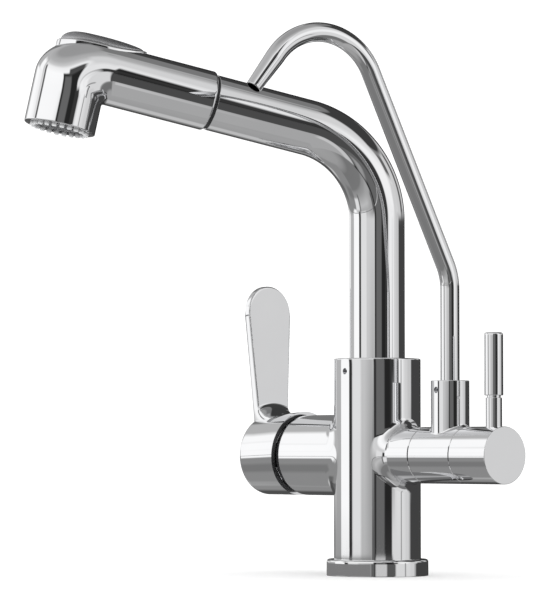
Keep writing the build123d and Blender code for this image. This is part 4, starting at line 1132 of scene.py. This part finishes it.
# %% Faces of the blade
BLADE_TIP = 101.0
TIP_R = 16.0
ROOT_R = 10.4
ROOT_X = HUB_R / 2
ROOT_START = 19.0
ROOT_LEVEL = 84.0
SCOOP_START = 72.2
SCOOP_L = 20.0
SCOOP_H = 8.0
SCOOP_STEPS = 24
SCOOP_ROUNDS = 8
HALF_COLUMNS = 24
BLADE_STEPS = 30
BY_SCOOP = 0.01
INNER_LEAN = tan(radians(3.4))
OUTER_LEAN = 3.1 / (BLADE_TIP - HUB_R)
SUNK = 0.05
SHARP = 0.9
BLADE_EDGE, BLADE_EDGE_STEPS = 0.7, 5
PLUG_OUT = 84.0
PLUG_R, PLUG_START, PLUG_END = 2.55, 14.0, 30.0
SIDE_LEAN = asin((TIP_R - ROOT_R) / (BLADE_TIP - TIP_R - ROOT_X))


def side_width(x):
    """Half the blade's width at a height above the branch's axis."""
    return (ROOT_R + (x - ROOT_X) * sin(SIDE_LEAN)) / cos(SIDE_LEAN)


def inner_face(x):
    """Level of the blade's inner face, which leans away from the spout."""
    return SCOOP_START + SCOOP_L + (x - HUB_R) * INNER_LEAN


def outer_face(x):
    """Level of the blade's outer face."""
    return HUB_END - SUNK + max(x - HUB_R, 0.0) * OUTER_LEAN


def scoop_row(radius, columns):
    """Places across the blade on a circle about the hub's axis."""
    half = asin(ROOT_R / radius)
    for attempt in range(SCOOP_ROUNDS):
        half = asin(side_width(radius * cos(half)) / radius)
    return [radius * Vector((cos(half * u), sin(half * u))) for u in columns]


# %% [markdown]
# The first row lies inside the hub, so the blade is joined to it without a gap. The rows could be lofted
# as faces at once, but growing them one from the other keeps them in order. The bevel takes only the
# sharp edges, which are those between the two faces and the sides.

# %% Blade of the lever
columns = [step / HALF_COLUMNS - 1 for step in range(2 * HALF_COLUMNS + 1)]
rows = [[Vector((p.x, p.y, ROOT_LEVEL)) for p in scoop_row(ROOT_START, columns)]]
for lift in quarter(SCOOP_STEPS):
    flat = scoop_row(HUB_R + SCOOP_H * (1 - cos(lift)), columns)
    levels = [SCOOP_START + (inner_face(p.x) - SCOOP_START) * sin(lift) for p in flat]
    rows.append([Vector((p.x, p.y, level)) for p, level in zip(flat, levels)])
tip_turns = [(pi / 2 + SIDE_LEAN) * u for u in columns]
tip_row = [Vector((BLADE_TIP - TIP_R + TIP_R * cos(t), TIP_R * sin(t))) for t in tip_turns]
last_scoop = [place.xy for place in rows[-1]]
for share in [BY_SCOOP] + [step / BLADE_STEPS for step in range(1, BLADE_STEPS + 1)]:
    flat = [a.lerp(b, share) for a, b in zip(last_scoop, tip_row)]
    rows.append([Vector((p.x, p.y, inner_face(p.x))) for p in flat])

blade = bmesh.new()
row = [blade.verts.new(place) for place in rows[0]]
for pair in zip(row, row[1:]):
    blade.edges.new(pair)
for places in rows[1:]:
    row = grow(blade, row, places, closed=False)
lifted = bmesh.ops.extrude_face_region(blade, geom=blade.faces[:], use_keep_orig=True)["geom"]
for item in lifted:
    if isinstance(item, bmesh.types.BMVert):
        item.co.z = outer_face(item.co.x)
bmesh.ops.recalc_face_normals(blade, faces=blade.faces)
border = [e for e in blade.edges if e.is_manifold and e.calc_face_angle() > SHARP]
bmesh.ops.bevel(blade, geom=border, offset=BLADE_EDGE, segments=BLADE_EDGE_STEPS, profile=0.5,
                affect="EDGES", material=-1)
piece("lever_blade", placed(blade, MIXER), "chrome", "mixer_lever")
plug_hole = rod(PLUG_R, PLUG_START, PLUG_END, frame_of((-PLUG_OUT, 0, BRANCH_Z), (0, 0, -1), (1, 0, 0)))
piece("lever_hub", hub, "chrome", "mixer_lever", "lever_handle", holes=[plug_hole])

# %% [markdown]
# Polished metal shows the room it stands in, so the room is painted as well. Lamps and cards could stand
# round the tap, but they would show in views from behind. Instead, a ramp by elevation gives the table,
# the large light and the roof, and panels are painted over it: the left and the right light, a dark
# backdrop, a dark wall with two windows, and the table's lighter and darker parts. Each panel has a range
# of bearings and a range of elevations, seen from the tap, as low, high and softness in degrees, and then
# a grey level. Bearings count to the right of the camera.

# %% Panels of the studio room
VIEW_TURN = radians(49.7)
TOWARDS = Vector((sin(VIEW_TURN), -cos(VIEW_TURN), 0.0))
RIGHT = Vector((cos(VIEW_TURN), sin(VIEW_TURN), 0.0))
UP = Vector((0.0, 0.0, 1.0))
ELEVATIONS = ((-90, 158), (-62, 152), (-54, 138), (-47, 115), (-28, 118), (-25, 138), (-20, 150), (-9, 186),
              (-4, 168), (0, 188), (5, 208), (12, 205), (17, 246), (24, 250), (37, 236), (43, 200), (52, 176),
              (60, 168), (68, 150), (90, 148))
FOOT_VIEW = (-2.45, -1.92, 0.1)
PANELS = (
    ("table on the left", (-190, -90, 6), (-60, 0, 6), 135),
    ("wall on the left", (-190, -92, 6), (0, 50, 6), 176),
    ("upper part of the left light", (-122, -98, 8), (18, 42, 8), 248),
    ("middle of the left light", (-140, -82, 6), (6, 20, 4), 250),
    ("lower part of the left light", (-114, -79, 2), (-3, 8, 4), 249),
    ("shaded table on the left", (-116, -92, 6), (-30, -17, 5), 118),
    ("left light on the table", (-108, -92, 5), (-6, -2, 2), 247),
    ("dark corner of the table", (-152, -132, 6), (-22, -8, 6), 100),
    ("pale corner of the table", (-150, -137, 6), (-38, -26, 5), 186),
    ("grey sheet behind on the left", (-190, -152, 6), (-12, 50, 8), 115),
    ("dark strip behind on the left", (-190, -150, 6), (-31, -9, 6), 75),
    ("bright strip behind on the left", (-170, -142, 6), (0, 6, 3), 232),
    ("table behind on the left", (-190, -150, 6), (-64, -42, 6), 186),
    ("stand of the left light", (-82, -72, 2), (-4, 6.5, 3), 48),
    ("foot of the stand", (-74, -68, 2), (-22, -3, 3), 110),
    ("card on the table", (-92, -74, 4), (-18, -5, 3), 222),
    ("gap between the lights", (-89.5, -81.5, 2.5), (14, 36, 6), 95),
    ("low rim of the large light", (-71, -46, 6), (-3, 7, 3), 221),
    ("shade beside the backdrop", (-28, -9, 16), (-20, 2, 4), 160),
    ("dark backdrop behind the camera", (-11, 37, 3), (-32, 27, 4), 36),
    ("top of the backdrop", (9, 37, 4), (24, 34, 4), 72),
    ("paler middle of the backdrop", (-5, 17, 4), (-30, 22, 4), 99),
    ("left edge of the backdrop", (-16, -9, 2), (-12, 0, 3), 92),
    ("foot of the backdrop", (17, 36, 3), (-32, -3, 4), 72),
    ("table in front of the backdrop", (-8, 34, 4), (-100, -31, 2), 163),
    ("front edge of the table", (-8, 26, 4), (-41, -31, 3), 192),
    ("table edge under the backdrop", (-8, 8, 4), (-26, -17, 4), 148),
    ("right light on the table", (38, 89, 3), (-34, 10, 6), 212),
    ("right light", (38, 82, 3), (6, 30, 5), 226),
    ("top of the right light", (40, 74, 6), (27, 50, 9), 208),
    ("middle of the right light", (46, 76, 6), (6, 21, 5), 239),
    ("bright strip of the right light", (50, 72, 6), (0, 7, 4), 236),
    ("far side of the right light", (78, 89, 4), (-12, 13, 4), 205),
    ("dark edge of the right light", (32, 45, 3), (0, 10, 3), 52),
    ("table under the right light", (35, 96, 5), (-64, -36, 12), 110),
    ("dark line in the right light", (63, 66, 2), (-16, 3, 4), 140),
    ("dark wall above the windows", (76, 190, 8), (28, 58, 6), 58),
    ("roof behind on the right", (92, 190, 6), (57, 68, 4), 118),
    ("dark wall under the windows", (95, 165, 5), (-66, 5.5, 3), 64),
    ("gap under the first window", (86, 100, 3), (0, 6, 2), 194),
    ("sill of the first window", (82, 100, 3), (10, 18, 3), 205),
    ("wall beside the first window", (82, 100, 5), (19, 29, 4), 95),
    ("first window", (99, 118, 3), (5.5, 28, 3), 200),
    ("wall between the windows", (118, 190, 3), (5.5, 28, 3), 90),
    ("second window", (132, 148, 3), (6, 28, 3), 195),
    ("dark corner behind on the right", (155, 190, 5), (-30, 40, 5), 48),
    ("dull table by the foot", (-170, -17, 3), FOOT_VIEW, 122),
    ("bright table by the foot", (-6, 20, 4), FOOT_VIEW, 195),
    ("dark table by the foot", (21, 40, 4), FOOT_VIEW, 84),
)


print("studio room has", len(PANELS), "panels")

# %% [markdown]
# Only mirrored rays see the painted room. The camera and matt surfaces see plain white, which keeps the
# floor pale and the shadows soft. An image of a room would do the same, but the script uses no picture
# files, and a list of panels can be read and changed.

# %% Studio room
PLATING = 0.89
MATT_LIGHT = 1.2
DEGREES = 180 / pi


def grey(level):
    """Linear value of a display level from 0 to 255."""
    share = level / 255
    return share / 12.92 if share <= 0.04045 else ((share + 0.055) / 1.055) ** 2.4


def within(angle, low, high, soft):
    """Share of a range of angles, with soft edges."""
    return angle.clamped(low - soft / 2, low + soft / 2) * angle.clamped(high + soft / 2, high - soft / 2)


world = bpy.data.worlds.new("studio")
world.use_nodes = True
world.cycles.sampling_method = "NONE"
bpy.context.scene.world = world
room = Recipe(world.node_tree)
ray = room.node("ShaderNodeTexCoord", out="Generated")
dot = {"operation": "DOT_PRODUCT"}
towards, right, up = [room.node("ShaderNodeVectorMath", dot, {0: ray, 1: axis}, out="Value")
                      for axis in (TOWARDS, RIGHT, UP)]
bearing = right.maths("ARCTAN2", right, towards) * DEGREES
elevation = up.maths("ARCSINE", up, 0.0) * DEGREES
ramp = [((angle + 90) / 180, grey(level)) for angle, level in ELEVATIONS]
painted = room.node("ShaderNodeValToRGB", {"stops": ramp}, {"Fac": elevation / 180 + 0.5})
for name, bearings, elevations, level in PANELS:
    share = within(bearing, *bearings) * within(elevation, *elevations)
    painted = room.blend(share, painted, (grey(level),) * 3 + (1.0,))
mirrored = room.node("ShaderNodeBackground", None, {"Color": painted, "Strength": 1 / PLATING})
plain = room.node("ShaderNodeBackground", None, {"Color": (1.0, 1.0, 1.0, 1.0), "Strength": MATT_LIGHT})
glossy = room.node("ShaderNodeLightPath", out="Is Glossy Ray")
mixed = room.node("ShaderNodeMixShader", None, {0: glossy, 1: plain, 2: mirrored})
room.node("ShaderNodeOutputWorld", None, {"Surface": mixed})
print("studio room has", len(world.node_tree.nodes), "nodes")

# %% [markdown]
# The floor is a large pale sheet. It takes a soft contact shadow. It could be mirrored in the plating
# too, but a white sheet would hide the grey table of the painted room, which is what the plating shows
# under the branches. So reflections look past it.

# %% Floor
FLOOR_HALF = 12.0


def pale_floor(recipe):
    cloud = recipe.noise(1.5, 2.0)
    colour = recipe.blend(cloud, (0.985, 0.985, 0.985, 1.0), (1.0, 1.0, 1.0, 1.0))
    return {"Base Color": colour, "Roughness": 0.9, "Specular IOR Level": 0.0}


sheet = bmesh.new()
bmesh.ops.create_grid(sheet, x_segments=8, y_segments=8, size=FLOOR_HALF)
floor = new_object("floor", sheet, finish("pale_floor", pale_floor))
floor.visible_glossy = False
print("floor is", floor.dimensions.x, "m wide")

# %% [markdown]
# The camera stands where the photograph was taken: a long lens, a little above the worktop, tilted up by
# less than three degrees. A short lens close by would fill the frame as well, but it would swell the
# nearer branch.

# %% Camera
FOCAL_PIXELS = 3208.0
FRAME_HEIGHT = 600
CAMERA_PLACE = Vector((1.3726, -1.2417, 0.072))
CAMERA_TILT = radians(2.677)
SENSOR = 36.0
FAR_CLIP = 60.0

lens = bpy.data.cameras.new("camera")
lens.sensor_width = SENSOR
lens.lens = SENSOR * FOCAL_PIXELS / FRAME_HEIGHT
lens.clip_end = FAR_CLIP
camera = bpy.data.objects.new("camera", lens)
bpy.context.scene.collection.objects.link(camera)
heading = -TOWARDS * cos(CAMERA_TILT) + UP * sin(CAMERA_TILT)
aim = heading.to_track_quat("-Z", "Y").to_matrix().to_4x4()
camera.matrix_world = Matrix.Translation(CAMERA_PLACE) @ aim
bpy.context.scene.camera = camera
bpy.context.scene.view_settings.view_transform = "Standard"
print("camera looks along", tuple(round(v, 4) for v in heading))
